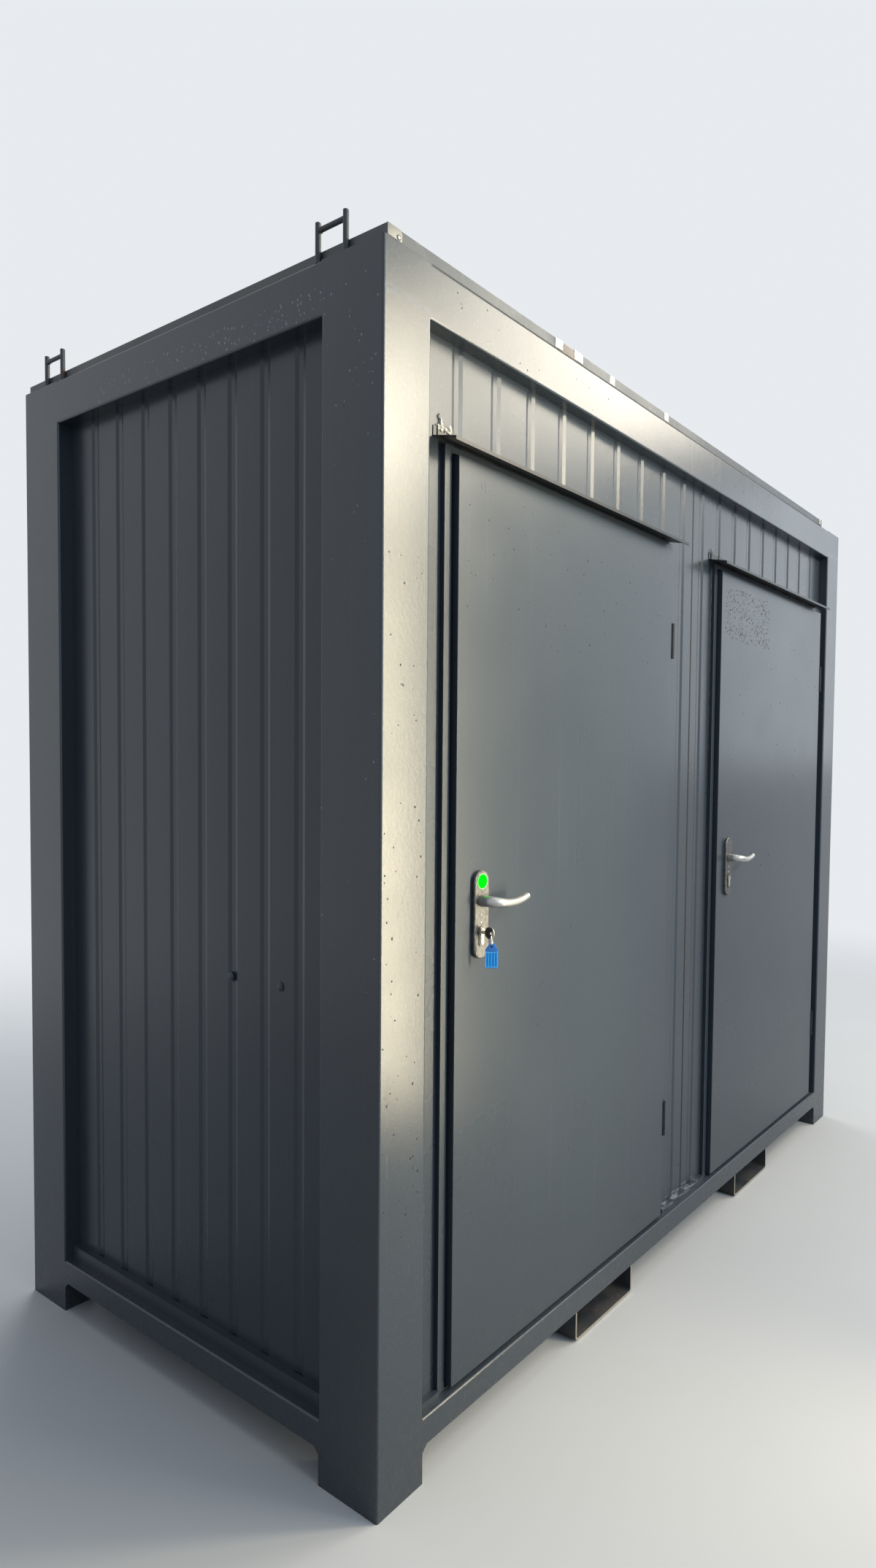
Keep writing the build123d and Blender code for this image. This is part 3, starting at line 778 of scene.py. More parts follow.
def add_frame_ring(bm, low, high, width, depth_from, depth_to, round_off):
    """A rectangular ring in the plane of the front, given by its outer corners in x and z."""
    place = Matrix.Translation(((low[0] + high[0]) / 2, depth_from, (low[1] + high[1]) / 2))
    place = place @ Matrix.Rotation(math.pi / 2, 4, "X")
    place = place @ Matrix.Diagonal((high[0] - low[0], high[1] - low[1], 1.0, 1.0))
    grid = bmesh.ops.create_grid(bm, x_segments=1, y_segments=1, size=0.5, matrix=place)
    face = next(iter(grid["verts"][0].link_faces))
    bmesh.ops.inset_region(bm, faces=[face], thickness=width, use_boundary=True, use_even_offset=True)
    rim = [f for f in bm.faces if f is not face]
    bmesh.ops.delete(bm, geom=[face], context="FACES_ONLY")
    pull(bm, rim, (0, depth_to - depth_from, 0))
    front = [
        edge for edge in bm.edges
        if all(abs(vert.co.y - min(depth_from, depth_to)) < 0.01 * MM for vert in edge.verts)
        and len(edge.link_faces) == 2 and edge.calc_face_angle(0.0) > 0.5
    ]
    round_edges(bm, front, round_off, 3)


def add_slab(bm, outline, place, thickness, bevel):
    """A plate from its outline across and up, centred on the place's y, with sizes in millimetres."""
    near = [bm.verts.new(place @ mm(across, -thickness / 2, up)) for across, up in outline]
    far = pull(bm, [bm.faces.new(near)], place.to_3x3() @ mm(0, thickness, 0))
    corners = set(near) | set(far)
    edges = [
        edge for edge in bm.edges
        if corners.issuperset(edge.verts) and len(edge.link_faces) == 2
        and edge.calc_face_angle(0.0) > 0.3
    ]
    round_edges(bm, edges, bevel * MM)


def add_holed_disc(bm, place, radius, hole, hole_offset, thickness, bevel):
    """A round plate with a round hole off its middle, centred on its thickness along the place's z."""
    rims = []
    for size, offset, segments in ((radius, 0.0, 48), (hole, hole_offset, 20)):
        at = place @ Matrix.Translation((offset, 0, -thickness / 2))
        rim = bmesh.ops.create_circle(bm, segments=segments, radius=size, matrix=at)
        rims += edges_of(rim["verts"])
    filled = bmesh.ops.triangle_fill(bm, use_beauty=True, use_dissolve=False, edges=rims)
    faces = [item for item in filled["geom"] if isinstance(item, bmesh.types.BMFace)]
    far = pull(bm, faces, place.to_3x3() @ Vector((0, 0, thickness)))
    pulled_rims = {edge for vert in far for edge in vert.link_edges if edge.other_vert(vert) in set(far)}
    edges = [edge for edge in {*rims, *pulled_rims} if edge.is_valid and edge.calc_face_angle(0.0) > 1.0]
    round_edges(bm, edges, bevel)


def add_bead(bm, top, height, radius, waves):
    """An upright bead of sealant whose thickness wanders and fades out downwards."""
    place = Matrix.Translation(top - Vector((0, 0, height / 2)))
    bmesh.ops.create_cone(
        bm, cap_ends=True, segments=8, radius1=1.0, radius2=1.0, depth=height, matrix=place
    )
    uprights = [
        edge for edge in bm.edges if abs(edge.verts[0].co.z - edge.verts[1].co.z) > height / 2
    ]
    bmesh.ops.subdivide_edges(bm, edges=uprights, cuts=70, use_grid_fill=False)
    for vert in bm.verts:
        down = (top.z - vert.co.z) / height
        ripple = 0.75 + 0.3 * math.sin(waves * down) + 0.2 * math.sin(2.7 * waves * down + 1.0)
        girth = radius * ripple * (1.0 - 0.75 * down)
        vert.co.x = top.x + (vert.co.x - top.x) * girth
        vert.co.y = top.y + (vert.co.y - top.y) * girth * 0.6


# Pieces

def coat_cad_nodes():
    """Gives every CAD node its finish."""
    indicator_low, indicator_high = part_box("occupancy_indicator")
    finishes = {
        "frame_paint": paint(
            "frame_paint", roughness=0.26, canning=0.0004, gloss=0.48, lined=True, weld_sheen_height=WELD_SHEEN_HEIGHT
        ),
        "cladding_paint": paint(
            "cladding_paint", canning=0.0014, lined=True, smear=SMEAR, scuffed=True
        ),
        "flashing_paint": paint("flashing_paint", tone=0.95, roughness=0.31, scuffed=True),
        "door_paint": paint("door_paint", tone=1.02, roughness=0.29, canning=0.0011, lined=True),
        # Painted shade: the hinges' paint is made much darker to stand in for the dark gap beside them
        "hinge_paint": paint("hinge_paint", tone=0.30, roughness=0.42, canning=0.0, gloss=0.2),
        "stainless_steel": stainless("stainless_steel"),
        "nickel_plate": nickel("nickel_plate"),
        "green_plastic": indicator_plastic("green_plastic", (indicator_low + indicator_high) / 2),
        "blue_plastic": clear_plastic("blue_plastic", colours().tag),
        "floor_board": floor_boards("floor_board"),
        "base_steel": base_steel("base_steel"),
        "ceiling_white": ceiling_paint("ceiling_white"),
        "roof_steel": roof_sheet_paint("roof_steel"),
    }
    plates = brushed_plate("brushed_plate")
    # Painted shade: the canopies' paint is made much darker to stand in for their unlit undersides
    canopy = paint("canopy_paint", tone=0.30, roughness=0.34, gloss=0.3)
    slots = {part["node"]: part["material_slot"] for part in frame["record"]["subparts"]}
    for node, piece in frame["nodes"].items():
        material = finishes[slots[node]]
        if node.startswith("handle_plates"):
            material = plates
        if node == "drip_canopies":
            material = canopy
        piece.data.materials.clear()
        piece.data.materials.append(material)


def make_door_seals():
    """A rubber seal on the stop of each doorway, just behind the closed leaf."""
    material = rubber("seal_rubber")
    edge = 2.0 * MM
    for side in SIDES:
        low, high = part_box(f"door_leaf_{side}")
        bm = bmesh.new()
        add_frame_ring(
            bm, (low.x + edge, low.z + edge), (high.x - edge, high.z - edge),
            sizes().seal_width, high.y + 0.4 * MM, high.y + 4.9 * MM, 1.6 * MM,
        )
        finish_piece(bm, f"door_seal_{side}", material, "cabin")


def make_end_bolts():
    """Domed bolt heads with washers on the left end wall, as the photograph shows them."""
    bm = bmesh.new()
    radius = sizes().bolt_radius
    for from_front, height in END_BOLTS:
        centre = Vector((END_CLADDING, FRONT + from_front, height))
        add_cylinder(bm, centre + mm(0.5, 0, 0), (-1, 0, 0), radius * 1.25, 2.0 * MM, 28)
        add_dome(bm, centre - mm(1.4, 0, 0), (-1, 0, 0), radius, radius * 0.55)
    finish_piece(bm, "end_wall_bolts", weld_paint("bolt_paint"), "cabin")


def make_roof_trim():
    """Corner plates, edge clips and rows of screws on the roof's sheet, and a dark strip, the painted
    shadow in the joint under it.
    """
    low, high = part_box("roof_sheet")
    plates = bmesh.new()
    washers = bmesh.new()
    heads = bmesh.new()
    for x, along in ((low.x, 1), (high.x, -1)):
        for y, out in ((low.y, -1), (high.y, 1)):
            corner = Vector((x, y, low.z))
            outline = [(along * across, up) for across, up in CORNER_PLATE]
            add_slab(plates, outline, Matrix.Translation(corner + mm(0, out * 0.6, 0)), 1.2, 0.3)
            screw = corner + mm(30 * along, out * 1.2, 6.5)
            add_cylinder(washers, screw, (0, out, 0), 5.4 * MM, 0.8 * MM)
            add_dome(heads, screw + mm(0, out * 0.7, 0), (0, out, 0), 3.4 * MM, 1.6 * MM, 4, 18)
    finish_piece(plates, "roof_corner_plates", galvanised("plate_zinc"), "cabin")
    finish_piece(washers, "roof_corner_washers", rubber("washer_rubber"), "cabin")

    # Painted shadow: a dark strip in the gap between the roof's sheet and the frame's top
    joint = bmesh.new()
    add_box(
        joint, (low.x + MM, low.y - 0.3 * MM, FRAME_TOP + 0.1 * MM),
        (high.x - MM, low.y + 2 * MM, FRAME_TOP + 3.0 * MM),
    )
    finish_piece(joint, "roof_joint", dark_void("roof_joint_shadow"), "cabin")

    for first, last, sheet in ROOF_CLIPS:
        front = low.y - sheet * MM
        top = ROOF_RIM + sheet * MM
        add_box(
            heads, (LEFT + first, front, ROOF_RIM - 21 * MM), (LEFT + last, low.y, top), 0.4 * MM
        )
        add_box(
            heads, (LEFT + first, front, ROOF_RIM), (LEFT + last, front + 22 * MM, top), 0.4 * MM
        )
    count = int((high.x - low.x) / sizes().roof_screw_spacing)
    step = (high.x - low.x) / count
    for row in (low.y + SCREW_ROW, high.y - SCREW_ROW):
        for index in range(count):
            centre = Vector((low.x + step * (index + 0.5), row, ROOF_RIM))
            add_cylinder(heads, centre, (0, 0, 1), 7.5 * MM, 1.2 * MM, 18)
            add_cylinder(heads, centre + mm(0, 0, 1.2), (0, 0, 1), 4.2 * MM, 3.4 * MM, 6)
    finish_piece(heads, "roof_fixings", bright_metal("bright_metal"), "cabin")


def make_canopy_ends():
    """The roughly cut left ends of the drip canopies, with sealant smeared over the left one."""
    low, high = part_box("drip_canopies")
    starts = {"left": low.x, "right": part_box("door_leaf_right")[0].x - 55 * MM}
    # The torn tabs are shapes of their own, but their paint is made darker as a painted shade
    steel = paint("torn_paint", tone=0.35, roughness=0.5)
    for side, start in starts.items():
        bm = bmesh.new()
        for offset, rise, lean in CANOPY_TEARS[side]:
            foot = Vector((start, FRONT_CLADDING, high.z)) + mm(offset, -3.2, -26)
            outline = ((-1.1, 0.0), (1.1, 0.0), (lean + 0.3, rise), (lean - 0.3, rise))
            add_slab(bm, outline, Matrix.Translation(foot), 1.6, 0.15)
        finish_piece(bm, f"canopy_tears_{side}", steel, "cabin")

    bm = bmesh.new()
    edge = Vector((low.x, FRONT_CLADDING, high.z))
    for offset, up, half_width, half_height, phase in SEALANT_LUMPS:
        add_blob(bm, edge + mm(offset, -0.8, up), half_width * MM, half_height * MM, phase)
    flap = Matrix.Translation(edge + mm(52, -5, 5)) @ Matrix.Rotation(0.5, 4, "Y")
    add_slab(bm, SEALANT_FLAP, flap @ Matrix.Rotation(0.35, 4, "Z"), 0.8, 0.2)
    finish_piece(bm, "canopy_sealant", sealant("white_sealant"), "cabin", sharp=80.0)

    bm = bmesh.new()
    add_dome(bm, edge + mm(28, -4.6, 4), (0, -1, 0), 3.2 * MM, 0.8 * MM, 3, 16)
    finish_piece(bm, "sealant_hole", dark_void("hole_shadow"), "cabin")


def make_front_joints():
    """A dark strip, the painted shadow in the joint between the front's sheets, and a bead of sealant
    beside the right door.
    """
    bm = bmesh.new()
    # Painted shadow: a dark strip where the lapped sheets' joint lies in shade
    add_box(
        bm, (SHEET_JOINT.x - 3.5 * MM, FRONT_CLADDING - 0.4 * MM, RAIL_TOP + MM),
        (SHEET_JOINT.x + 3.5 * MM, FRONT_CLADDING + 0.5 * MM, SHEET_JOINT.z - MM),
    )
    finish_piece(bm, "sheet_joint", dark_void("joint_shadow"), "cabin")

    bm = bmesh.new()
    frame_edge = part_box("door_frame_right")[0].x
    top = Vector((frame_edge, FRONT_CLADDING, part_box("drip_canopies")[1].z)) - mm(0.6, 0.6, 50)
    add_bead(bm, top, 0.62, 1.6 * MM, 85.0)
    finish_piece(bm, "frame_sealant_right", sealant("grey_sealant", 0.42), "cabin", sharp=80.0)


def add_blob(bm, centre, half_width, half_height, phase):
    """A smeared lump: a ball pressed flat on the wall and pulled about by waves."""
    made = bmesh.ops.create_icosphere(bm, subdivisions=4, radius=1.0)
    for vert in made["verts"]:
        ripple = 1 + 0.20 * math.sin(5 * vert.co.x + phase) + 0.16 * math.sin(7 * vert.co.z + 2 * phase)
        ripple += 0.08 * math.sin(13 * (vert.co.x + vert.co.z) + phase)
        flat = Vector((vert.co.x * half_width, vert.co.y * 4.2 * MM, vert.co.z * half_height))
        vert.co = centre + flat * ripple


def make_lock_details():
    """Keyways, plate pips, lock forends in the leaves' edges and strikes in the frames."""
    # Painted shade: the forends' and strikes' nickel is made darker than the lock faces' nickel
    steel = nickel("forend_metal", 0.8)
    void = dark_void("slot_shadow")
    face_metal = nickel("lock_face_nickel")
    for side in SIDES:
        low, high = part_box(f"lock_cylinder_{side}")
        plate_low, plate_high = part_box(f"handle_plates_{side}")
        x = (low.x + high.x) / 2
        slots = bmesh.new()
        faces = bmesh.new()
        for face, plate, way in ((low.y, plate_low.y, -1), (high.y, plate_high.y, 1)):
            centre = Vector((x, face, LOCK_Z))
            add_box_at(slots, centre + mm(0, way * 0.15, 0), (-0.9, -0.15, -5.0), (0.9, 0.15, 5.0))
            add_cylinder(faces, centre, (0, way, 0), 6.6 * MM, 0.1 * MM, 32)
            for up in PIPS:
                spot = Vector((x, plate, LOCK_Z)) + mm(-2, way * -2, up)
                add_dome(faces, spot, (0, way, 0), 2.6 * MM, 0.9 * MM, 3, 12)
        finish_piece(slots, f"keyways_{side}", void, f"door_{side}")
        finish_piece(faces, f"lock_faces_{side}", face_metal, f"door_{side}")

        leaf_low, leaf_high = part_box(f"door_leaf_{side}")
        edge = Vector((leaf_low.x, leaf_high.y - 12 * MM, LOCK_Z))
        bm = bmesh.new()
        add_box_at(bm, edge, *FOREND, 0.3)
        add_box_at(bm, edge, *LATCH, 0.8)
        for up in FOREND_SCREWS:
            add_dome(bm, edge + mm(-0.6, 0, up), (-1, 0, 0), 4 * MM, 1.1 * MM, 3, 16)
        finish_piece(bm, f"lock_forend_{side}", steel, f"door_{side}")

        bm = bmesh.new()
        add_box_at(bm, edge, *STRIKE, 0.3)
        finish_piece(bm, f"lock_strike_{side}", steel, "cabin")


def make_hinge_screws():
    """Screw heads in the hinges' wings on the door frames."""
    bm = bmesh.new()
    for side in SIDES:
        wing_low, wing_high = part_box(f"hinge_leaf_halves_{side}")
        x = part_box(f"door_leaf_{side}")[1].x + 19 * MM
        for bottom in (wing_low.z, wing_high.z - HINGE_LENGTH):
            for share in HINGE_SCREWS:
                centre = Vector((x, FRONT + 23 * MM, bottom + share * HINGE_LENGTH))
                add_dome(bm, centre, (0, -1, 0), 3.0 * MM, 1.0 * MM, 3, 14)
                add_box_at(bm, centre, *SCREW_SLOT)
    finish_piece(bm, "hinge_screws", bright_metal("screw_metal"), "cabin")


def make_key():
    """The key in the left lock: a plated blade with teeth, a round grip and two rings."""
    mouth = Vector((LOCK_X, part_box("lock_cylinder_left")[0].y, LOCK_Z))
    grip = mouth - Vector((0, 6 * MM + KEY_BOW, 0))
    bm = bmesh.new()
    add_box(bm, grip - mm(1.0, 0, 3.5), mouth + mm(1.0, 0, 3.5), 0.3 * MM)
    for index in range(KEY_TEETH):
        add_box_at(bm, mouth - mm(0, FIRST_TOOTH + TOOTH_PITCH * index, 0), *KEY_TOOTH, 0.3)
    place = turned(grip, (1, 0, 0))
    add_holed_disc(bm, place, KEY_BOW, KEY_HOLE, -7 * MM, 1.8 * MM, 0.4 * MM)
    blade = finish_piece(bm, "key_blade", nickel("key_nickel", 1.2), "door_left")
    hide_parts("door_key")

    bm = bmesh.new()
    add_holed_disc(bm, place, KEY_BOW - 1.5 * MM, KEY_HOLE + 0.9 * MM, -7 * MM, 2.6 * MM, 0.35 * MM)
    finish_piece(bm, "key_grip", grip_plastic("key_grip_plastic"), "door_left")

    axis = Vector((-math.sin(TAG_TURN), math.cos(TAG_TURN), 0))
    top = LOCK_Z - KEY_HOLE + KEY_WIRE + 0.25 * MM
    centre = Vector((LOCK_X, grip.y - 7 * MM, top - KEY_RING))
    bm = bmesh.new()
    for offset in (-0.6 * MM, 0.6 * MM):
        add_ring(bm, centre + axis * offset, axis, KEY_RING, 0.7 * MM)
    sideways = Vector((math.cos(TAG_TURN), math.sin(TAG_TURN), 0))
    hung = centre + (sideways * math.cos(0.9) - Vector((0, 0, math.sin(0.9)))) * KEY_RING
    add_ring(bm, hung - Vector((0, 0, 2.8 * MM)), (0.35, -0.80, 0.48), 4.2 * MM, 0.6 * MM, 28, 8)
    finish_piece(bm, "key_rings", nickel("ring_nickel", 1.4), "door_left")


def make_key_tag():
    """The key tag: a clear blue case with a window, ribs painted paler as highlights, and a blank slip.
    """
    low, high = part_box("key_tag")
    place = Matrix.Translation(((low.x + high.x) / 2, (low.y + high.y) / 2, high.z))
    place = place @ Matrix.Rotation(TAG_TURN + math.pi / 2, 4, "Z")
    bm = bmesh.new()
    add_slab(bm, TAG_OUTLINE, place, 3.6, 0.8)
    case = finish_piece(
        bm, "key_tag_case", clear_plastic("tag_blue", colours().tag), "door_left"
    )
    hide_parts("key_tag")

    bm = bmesh.new()
    for way in (-1, 1):
        for offset in (-13.2, 13.2):
            add_tag_bar(bm, place, way, offset - 1.1, offset + 1.1, -54.0, -16.0)
        for offset in (-6.5, 0.0, 6.5):
            add_tag_bar(bm, place, way, offset - 0.6, offset + 0.6, -52.0, -21.0)
        add_tag_bar(bm, place, way, -12.0, 12.0, -20.4, -18.8)
        add_tag_bar(bm, place, way, -12.0, 12.0, -54.0, -52.2)
    # Painted highlight: the ribs' paler blue stands in for light caught in the case's rims and bars
    rib_blue = clear_plastic("tag_rib_blue", (0.09, 0.50, 1.0), 0.95)
    finish_piece(bm, "key_tag_ribs", rib_blue, "door_left")

    bm = bmesh.new()
    for way in (-1, 1):
        add_tag_bar(bm, place, way, -11.8, 11.8, -52.0, -20.6, 0.15)
    finish_piece(bm, "key_tag_slip", slip_paper_with_glow("tag_slip"), "door_left")

    bm = bmesh.new()
    add_cylinder(bm, place @ mm(0, -1.95, -6), place.to_3x3() @ Vector((0, 1, 0)), 2.6 * MM, 3.9 * MM)
    finish_piece(bm, "key_tag_hole", dark_void("tag_hole_shadow"), "door_left")


def add_tag_bar(bm, place, way, first, last, bottom, top, proud=0.5):
    """A flat bar on one face of the key tag, with its sizes in millimetres."""
    centre = mm((first + last) / 2, way * (1.8 + proud / 2), (bottom + top) / 2)
    scale = Matrix.Diagonal(((last - first) * MM, proud * MM, (top - bottom) * MM, 1.0))
    bmesh.ops.create_cube(bm, size=1.0, matrix=place @ Matrix.Translation(centre) @ scale)


def make_welds():
    """Weld beads at the lifting eyes' feet and cross bars, and on the posts' foot plates."""
    leg = sizes().weld_radius
    bm = bmesh.new()
    low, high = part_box("lifting_eyes")
    for x, inwards in ((low.x + EYE_BAR, 2), (high.x - EYE_BAR, -2)):
        for near, way in ((low.y + EYE_BAR, 1), (high.y - EYE_BAR, -1)):
            for y, inward in ((near, way), (near + way * EYE_SPACING, -way)):
                foot = Vector((x, y, FRAME_TOP)) + mm(inwards, 0, 0.6)
                add_ring(bm, foot, (0, 0, 1), EYE_BAR + 0.3 * MM, leg * 0.55, 24, 8)
                cross = Vector((x, y, high.z)) + mm(inwards * 0.4, inward * 6.3, -17)
                add_ring(bm, cross, (0, 1, 0), 4.9 * MM, leg * 0.45, 20, 8)
    finish_piece(bm, "lifting_eye_welds", weld_paint("eye_weld_paint"), "cabin", sharp=80.0)

    bm = bmesh.new()
    random.seed(WELD_SEED)
    for name in CORNERS:
        low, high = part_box(f"corner_post_{name}")
        outer, way = (low.x, -1) if low.x < 0 else (high.x, 1)
        beads = int((high.y - low.y) / (7 * MM)) - 1
        for index in range(beads):
            y = low.y + 5 * MM + (index + 0.5) * (high.y - low.y - 10 * MM) / beads
            size = leg * random.uniform(0.55, 0.85)
            centre = Vector((outer, y, low.z + 6.5 * MM + random.uniform(-1, 1) * 0.8 * MM))
            add_dome(bm, centre, (way, 0, 0), size * 1.5, size * 0.12, 3, 10)
    finish_piece(bm, "foot_plate_welds", weld_paint("foot_weld_paint"), "cabin", sharp=80.0)


def make_raindrops():
    """Raindrops that cling to the paint, thickest on the end rail and the right door."""
    random.seed(sizes().rain_seed)
    rain = water("rain_water", (0.022, 0.026, 0.031))
    # Painted highlight: the end's drops are pale to stand in for the light they catch
    highlight_painted_rain = water("lit_water", (0.42, 0.45, 0.48))
    rail_low, rail_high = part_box("top_rail_left")
    low_1, high_1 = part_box("door_leaf_left")
    low_2, high_2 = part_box("door_leaf_right")
    # Piece, water, body and level, then for each field its reach across, its heights, and the
    # number and the size of its drops
    fields = (
        # The end rail's drops use the pale water, a painted highlight
        ("end", highlight_painted_rain, "cabin", LEFT, (
            ((rail_low.y, rail_high.y - 0.2), (rail_low.z + 4 * MM, rail_low.z + 62 * MM), 150, 0.9),
            ((FRONT + 0.01, POST_HIGH.y), (2.30, 2.56), 26, 0.8),
            ((FRONT + 0.01, POST_HIGH.y), (1.1, 2.3), 18, 0.7),
        )),
        ("cabin", rain, "cabin", FRONT, (
            ((LEFT + 8 * MM, LEFT + 0.118), (0.5, 2.0), 70, 0.9),
            ((LEFT + 0.2, RIGHT - 0.2), (2.50, 2.59), 40, 0.7),
        )),
        ("door_left", rain, "door_left", low_1.y, (
            ((low_1.x + 0.03, high_1.x - 0.05), (1.85, 2.2), 70, 0.8),
        )),
        ("door_right", rain, "door_right", low_2.y, (
            ((low_2.x + 0.03, low_2.x + 0.42), (2.02, 2.2), 520, 0.85),
            ((low_2.x + 0.05, high_2.x - 0.05), (1.2, 2.1), 60, 0.8),
        )),
    )
    for name, material, body, level, areas in fields:
        bm = bmesh.new()
        for across, heights, count, size in areas:
            for _ in range(count):
                add_drop(bm, name, level, random.uniform(*across), random.uniform(*heights), size)
        finish_piece(bm, f"raindrops_{name}", material, body, sharp=80.0)


def add_drop(bm, name, level, across, height, size):
    """One drop on the end or the front, a little longer downwards than it is wide."""
    radius = sizes().drop_radius * size * random.uniform(0.3, 1.0)
    tall = radius * random.uniform(1.0, 1.5)
    if name == "end":
        centre = (level, across, height)
        radii = (radius * 0.11, radius, tall)
    else:
        centre = (across, level, height)
        radii = (radius, radius * 0.45, tall)
    place = Matrix.Translation(centre) @ Matrix.Diagonal((*radii, 1.0))
    bmesh.ops.create_icosphere(bm, subdivisions=2, radius=1.0, matrix=place)


# Stage

def make_stage():
    """The pale floor, the soft lamps, the world and the photograph's camera."""
    scene = bpy.context.scene
    scene.view_settings.view_transform = "Standard"
    bm = bmesh.new()
    bmesh.ops.create_grid(bm, x_segments=1, y_segments=1, size=FLOOR_REACH)
    mesh = bpy.data.meshes.new("studio_floor")
    bm.to_mesh(mesh)
    bm.free()
    floor = add_object("studio_floor", mesh)
    mesh.materials.append(stage_floor("studio_floor"))
    for name, lamp in LAMPS.items():
        add_lamp(name, *lamp)
    add_world()
    add_camera()


def stage_floor(name):
    """Plain pale floor that keeps the cabin's shadow and fades into the backdrop far away."""
    finish = Finish(name)
    fine = finish.noise(3.0, 2.0)
    tone = colours().floor
    colour = finish.mix(shade(tone, 0.98), shade(tone, 1.02), fine)
    seen = finish.seen()
    colour = finish.mix(shade(tone, BOUNCE), colour, seen)
    near = finish.node("BsdfPrincipled", {}, {"Base Color": colour, "Roughness": 0.85})["BSDF"]
    backdrop = {"Color": as_colour(colours().backdrop), "Strength": 1.0}
    far = finish.node("Emission", {}, backdrop)["Emission"]
    distance = (finish.x * finish.x + finish.y * finish.y) ** 0.5
    finish.show(finish.either(near, far, finish.step(distance, FADE_START, FADE_END) * seen))
    return finish.material


def add_lamp(name, place, target, size, power, colour, spread):
    """A soft panel of that width and height, turned to the target."""
    lamp = bpy.data.lights.new(name, "AREA")
    lamp.shape = "RECTANGLE"
    lamp.size, lamp.size_y = size
    lamp.energy = power
    lamp.color = colour
    lamp.spread = math.radians(spread)
    holder = add_object(name, lamp)
    holder.location = place
    holder.rotation_euler = (Vector(target) - Vector(place)).to_track_quat("-Z", "Y").to_euler()


def add_world():
    """An even pale world: the plain backdrop where it is seen, dimmer and bluer as a light."""
    world = bpy.data.worlds.new("studio_world")
    bpy.context.scene.world = world
    world.use_nodes = True
    graph = Graph(world.node_tree, "OutputWorld")
    light = graph.node("Background", {}, {"Color": as_colour(WORLD_COLOUR), "Strength": WORLD_LIGHT})
    backdrop = graph.node("Background", {}, {"Color": as_colour(colours().backdrop), "Strength": 1.0})
    graph.show(graph.either(light["Background"], backdrop["Background"], graph.seen()))


def add_camera():
    """The photograph's camera: its place, turn and lens, fitted to the cabin's own edges."""
    camera = bpy.data.cameras.new("photo_camera")
    camera.sensor_fit = "AUTO"
    camera.sensor_width = SENSOR
    camera.lens = FOCAL_PIXELS / PHOTO_HEIGHT * SENSOR
    camera.shift_x = (PHOTO_WIDTH / 2 - CENTRE_PIXEL[0]) / PHOTO_HEIGHT
    camera.shift_y = (CENTRE_PIXEL[1] - PHOTO_HEIGHT / 2) / PHOTO_HEIGHT
    holder = add_object("photo_camera", camera)
    forward = Vector((
        math.sin(CAMERA_YAW) * math.cos(CAMERA_PITCH),
        math.cos(CAMERA_YAW) * math.cos(CAMERA_PITCH),
        math.sin(CAMERA_PITCH),
    ))
    level = Vector((math.cos(CAMERA_YAW), -math.sin(CAMERA_YAW), 0.0))
    above = level.cross(forward)
    right = level * math.cos(CAMERA_ROLL) + above * math.sin(CAMERA_ROLL)
    up = above * math.cos(CAMERA_ROLL) - level * math.sin(CAMERA_ROLL)
    turn = Matrix((right, up, -forward)).transposed().to_4x4()
    place = Vector((LEFT, FRONT, 0.0)) + CAMERA_FROM_CORNER
    holder.matrix_world = Matrix.Translation(place) @ turn
    bpy.context.scene.camera = holder


# Operators, in the order in which main calls them

class CABIN_OT_coat(bpy.types.Operator):
    """Give every CAD node its finish"""

    bl_idname = "cabin.coat"
    bl_label = "Paint and Finishes"

    def execute(self, context):
        coat_cad_nodes()
        return {"FINISHED"}


class CABIN_OT_door_seals(bpy.types.Operator):
    """Add the rubber seals round the doorways"""

    bl_idname = "cabin.door_seals"
    bl_label = "Door Seals"

    def execute(self, context):
        make_door_seals()
        return {"FINISHED"}


class CABIN_OT_end_bolts(bpy.types.Operator):
    """Add the bolt heads on the left end wall"""

    bl_idname = "cabin.end_bolts"
    bl_label = "End Wall Bolts"

    def execute(self, context):
        make_end_bolts()
        return {"FINISHED"}


class CABIN_OT_roof_trim(bpy.types.Operator):
    """Add the roof's corner plates, clips, screws and the painted shadow of its joint"""

    bl_idname = "cabin.roof_trim"
    bl_label = "Roof Trim"

    def execute(self, context):
        make_roof_trim()
        return {"FINISHED"}


class CABIN_OT_canopy_ends(bpy.types.Operator):
    """Add the cut ends and sealant of the drip canopies"""

    bl_idname = "cabin.canopy_ends"
    bl_label = "Canopy Ends"

    def execute(self, context):
        make_canopy_ends()
        return {"FINISHED"}


class CABIN_OT_front_joints(bpy.types.Operator):
    """Add the painted shadow of the front's joint and the bead of sealant"""

    bl_idname = "cabin.front_joints"
    bl_label = "Front Joints"

    def execute(self, context):
        make_front_joints()
        return {"FINISHED"}


class CABIN_OT_lock_details(bpy.types.Operator):
    """Add keyways, forends and strikes"""

    bl_idname = "cabin.lock_details"
    bl_label = "Lock Details"

    def execute(self, context):
        make_lock_details()
        return {"FINISHED"}


class CABIN_OT_hinge_screws(bpy.types.Operator):
    """Add the screws of the hinges"""

    bl_idname = "cabin.hinge_screws"
    bl_label = "Hinge Screws"

    def execute(self, context):
        make_hinge_screws()
        return {"FINISHED"}


class CABIN_OT_key(bpy.types.Operator):
    """Add the key and its rings"""

    bl_idname = "cabin.key"
    bl_label = "Key"

    def execute(self, context):
        make_key()
        return {"FINISHED"}


class CABIN_OT_key_tag(bpy.types.Operator):
    """Add the blue key tag"""

    bl_idname = "cabin.key_tag"
    bl_label = "Key Tag"

    def execute(self, context):
        make_key_tag()
        return {"FINISHED"}


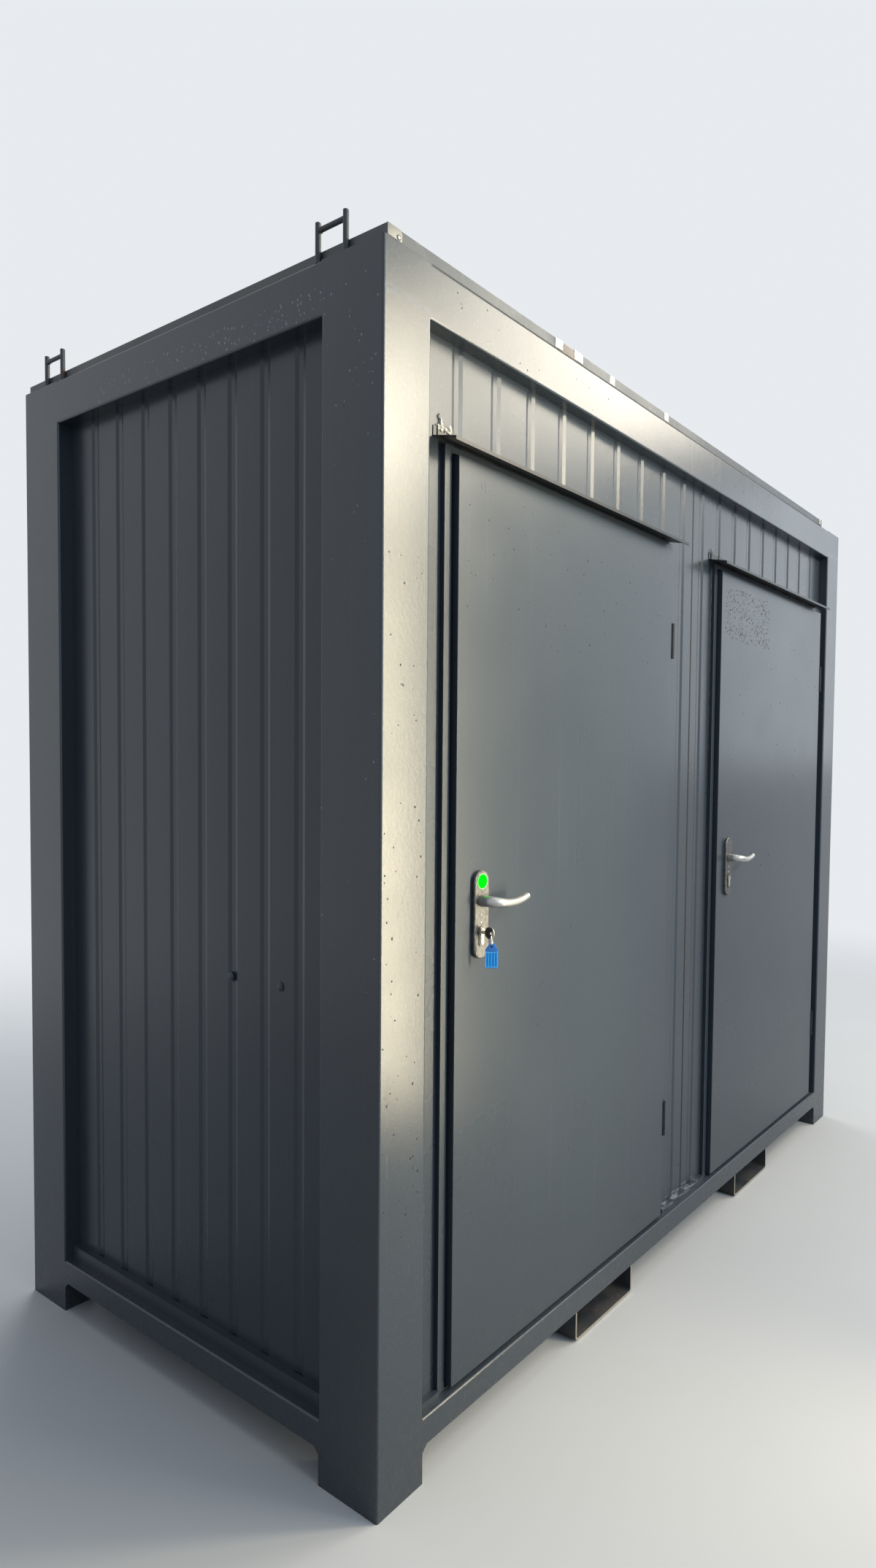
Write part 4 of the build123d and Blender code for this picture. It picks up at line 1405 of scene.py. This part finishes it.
class CABIN_OT_welds(bpy.types.Operator):
    """Add the weld beads"""

    bl_idname = "cabin.welds"
    bl_label = "Welds"

    def execute(self, context):
        make_welds()
        return {"FINISHED"}


class CABIN_OT_raindrops(bpy.types.Operator):
    """Add the raindrops"""

    bl_idname = "cabin.raindrops"
    bl_label = "Raindrops"

    def execute(self, context):
        make_raindrops()
        return {"FINISHED"}


class CABIN_OT_stage(bpy.types.Operator):
    """Add the floor, lamps, world and camera"""

    bl_idname = "cabin.stage"
    bl_label = "Studio Stage"

    def execute(self, context):
        make_stage()
        return {"FINISHED"}


OPERATORS = (
    CABIN_OT_coat,
    CABIN_OT_door_seals,
    CABIN_OT_end_bolts,
    CABIN_OT_roof_trim,
    CABIN_OT_canopy_ends,
    CABIN_OT_front_joints,
    CABIN_OT_lock_details,
    CABIN_OT_hinge_screws,
    CABIN_OT_key,
    CABIN_OT_key_tag,
    CABIN_OT_welds,
    CABIN_OT_raindrops,
    CABIN_OT_stage,
)


class CABIN_PT_panel(bpy.types.Panel):
    """The cabin's panel in the sidebar."""

    bl_idname = "CABIN_PT_panel"
    bl_label = "Portable Site Cabin"
    bl_space_type = "VIEW_3D"
    bl_region_type = "UI"
    bl_category = "Cabin"

    def draw(self, context):
        layout = self.layout
        for group in (context.scene.cabin_colours, context.scene.cabin_sizes):
            column = layout.column()
            for name in group.__annotations__:
                column.prop(group, name)
        for operator in OPERATORS:
            layout.operator(operator.bl_idname)


CLASSES = (CabinColours, CabinSizes, *OPERATORS, CABIN_PT_panel)


def register():
    for item in CLASSES:
        bpy.utils.register_class(item)
    bpy.types.Scene.cabin_colours = bpy.props.PointerProperty(type=CabinColours)
    bpy.types.Scene.cabin_sizes = bpy.props.PointerProperty(type=CabinSizes)


def unregister():
    del bpy.types.Scene.cabin_sizes
    del bpy.types.Scene.cabin_colours
    for item in reversed(CLASSES):
        bpy.utils.unregister_class(item)


def main():
    register()
    for operator in OPERATORS:
        family, name = operator.bl_idname.split(".")
        getattr(getattr(bpy.ops, family), name)()


if __name__ == "__main__":
    main()
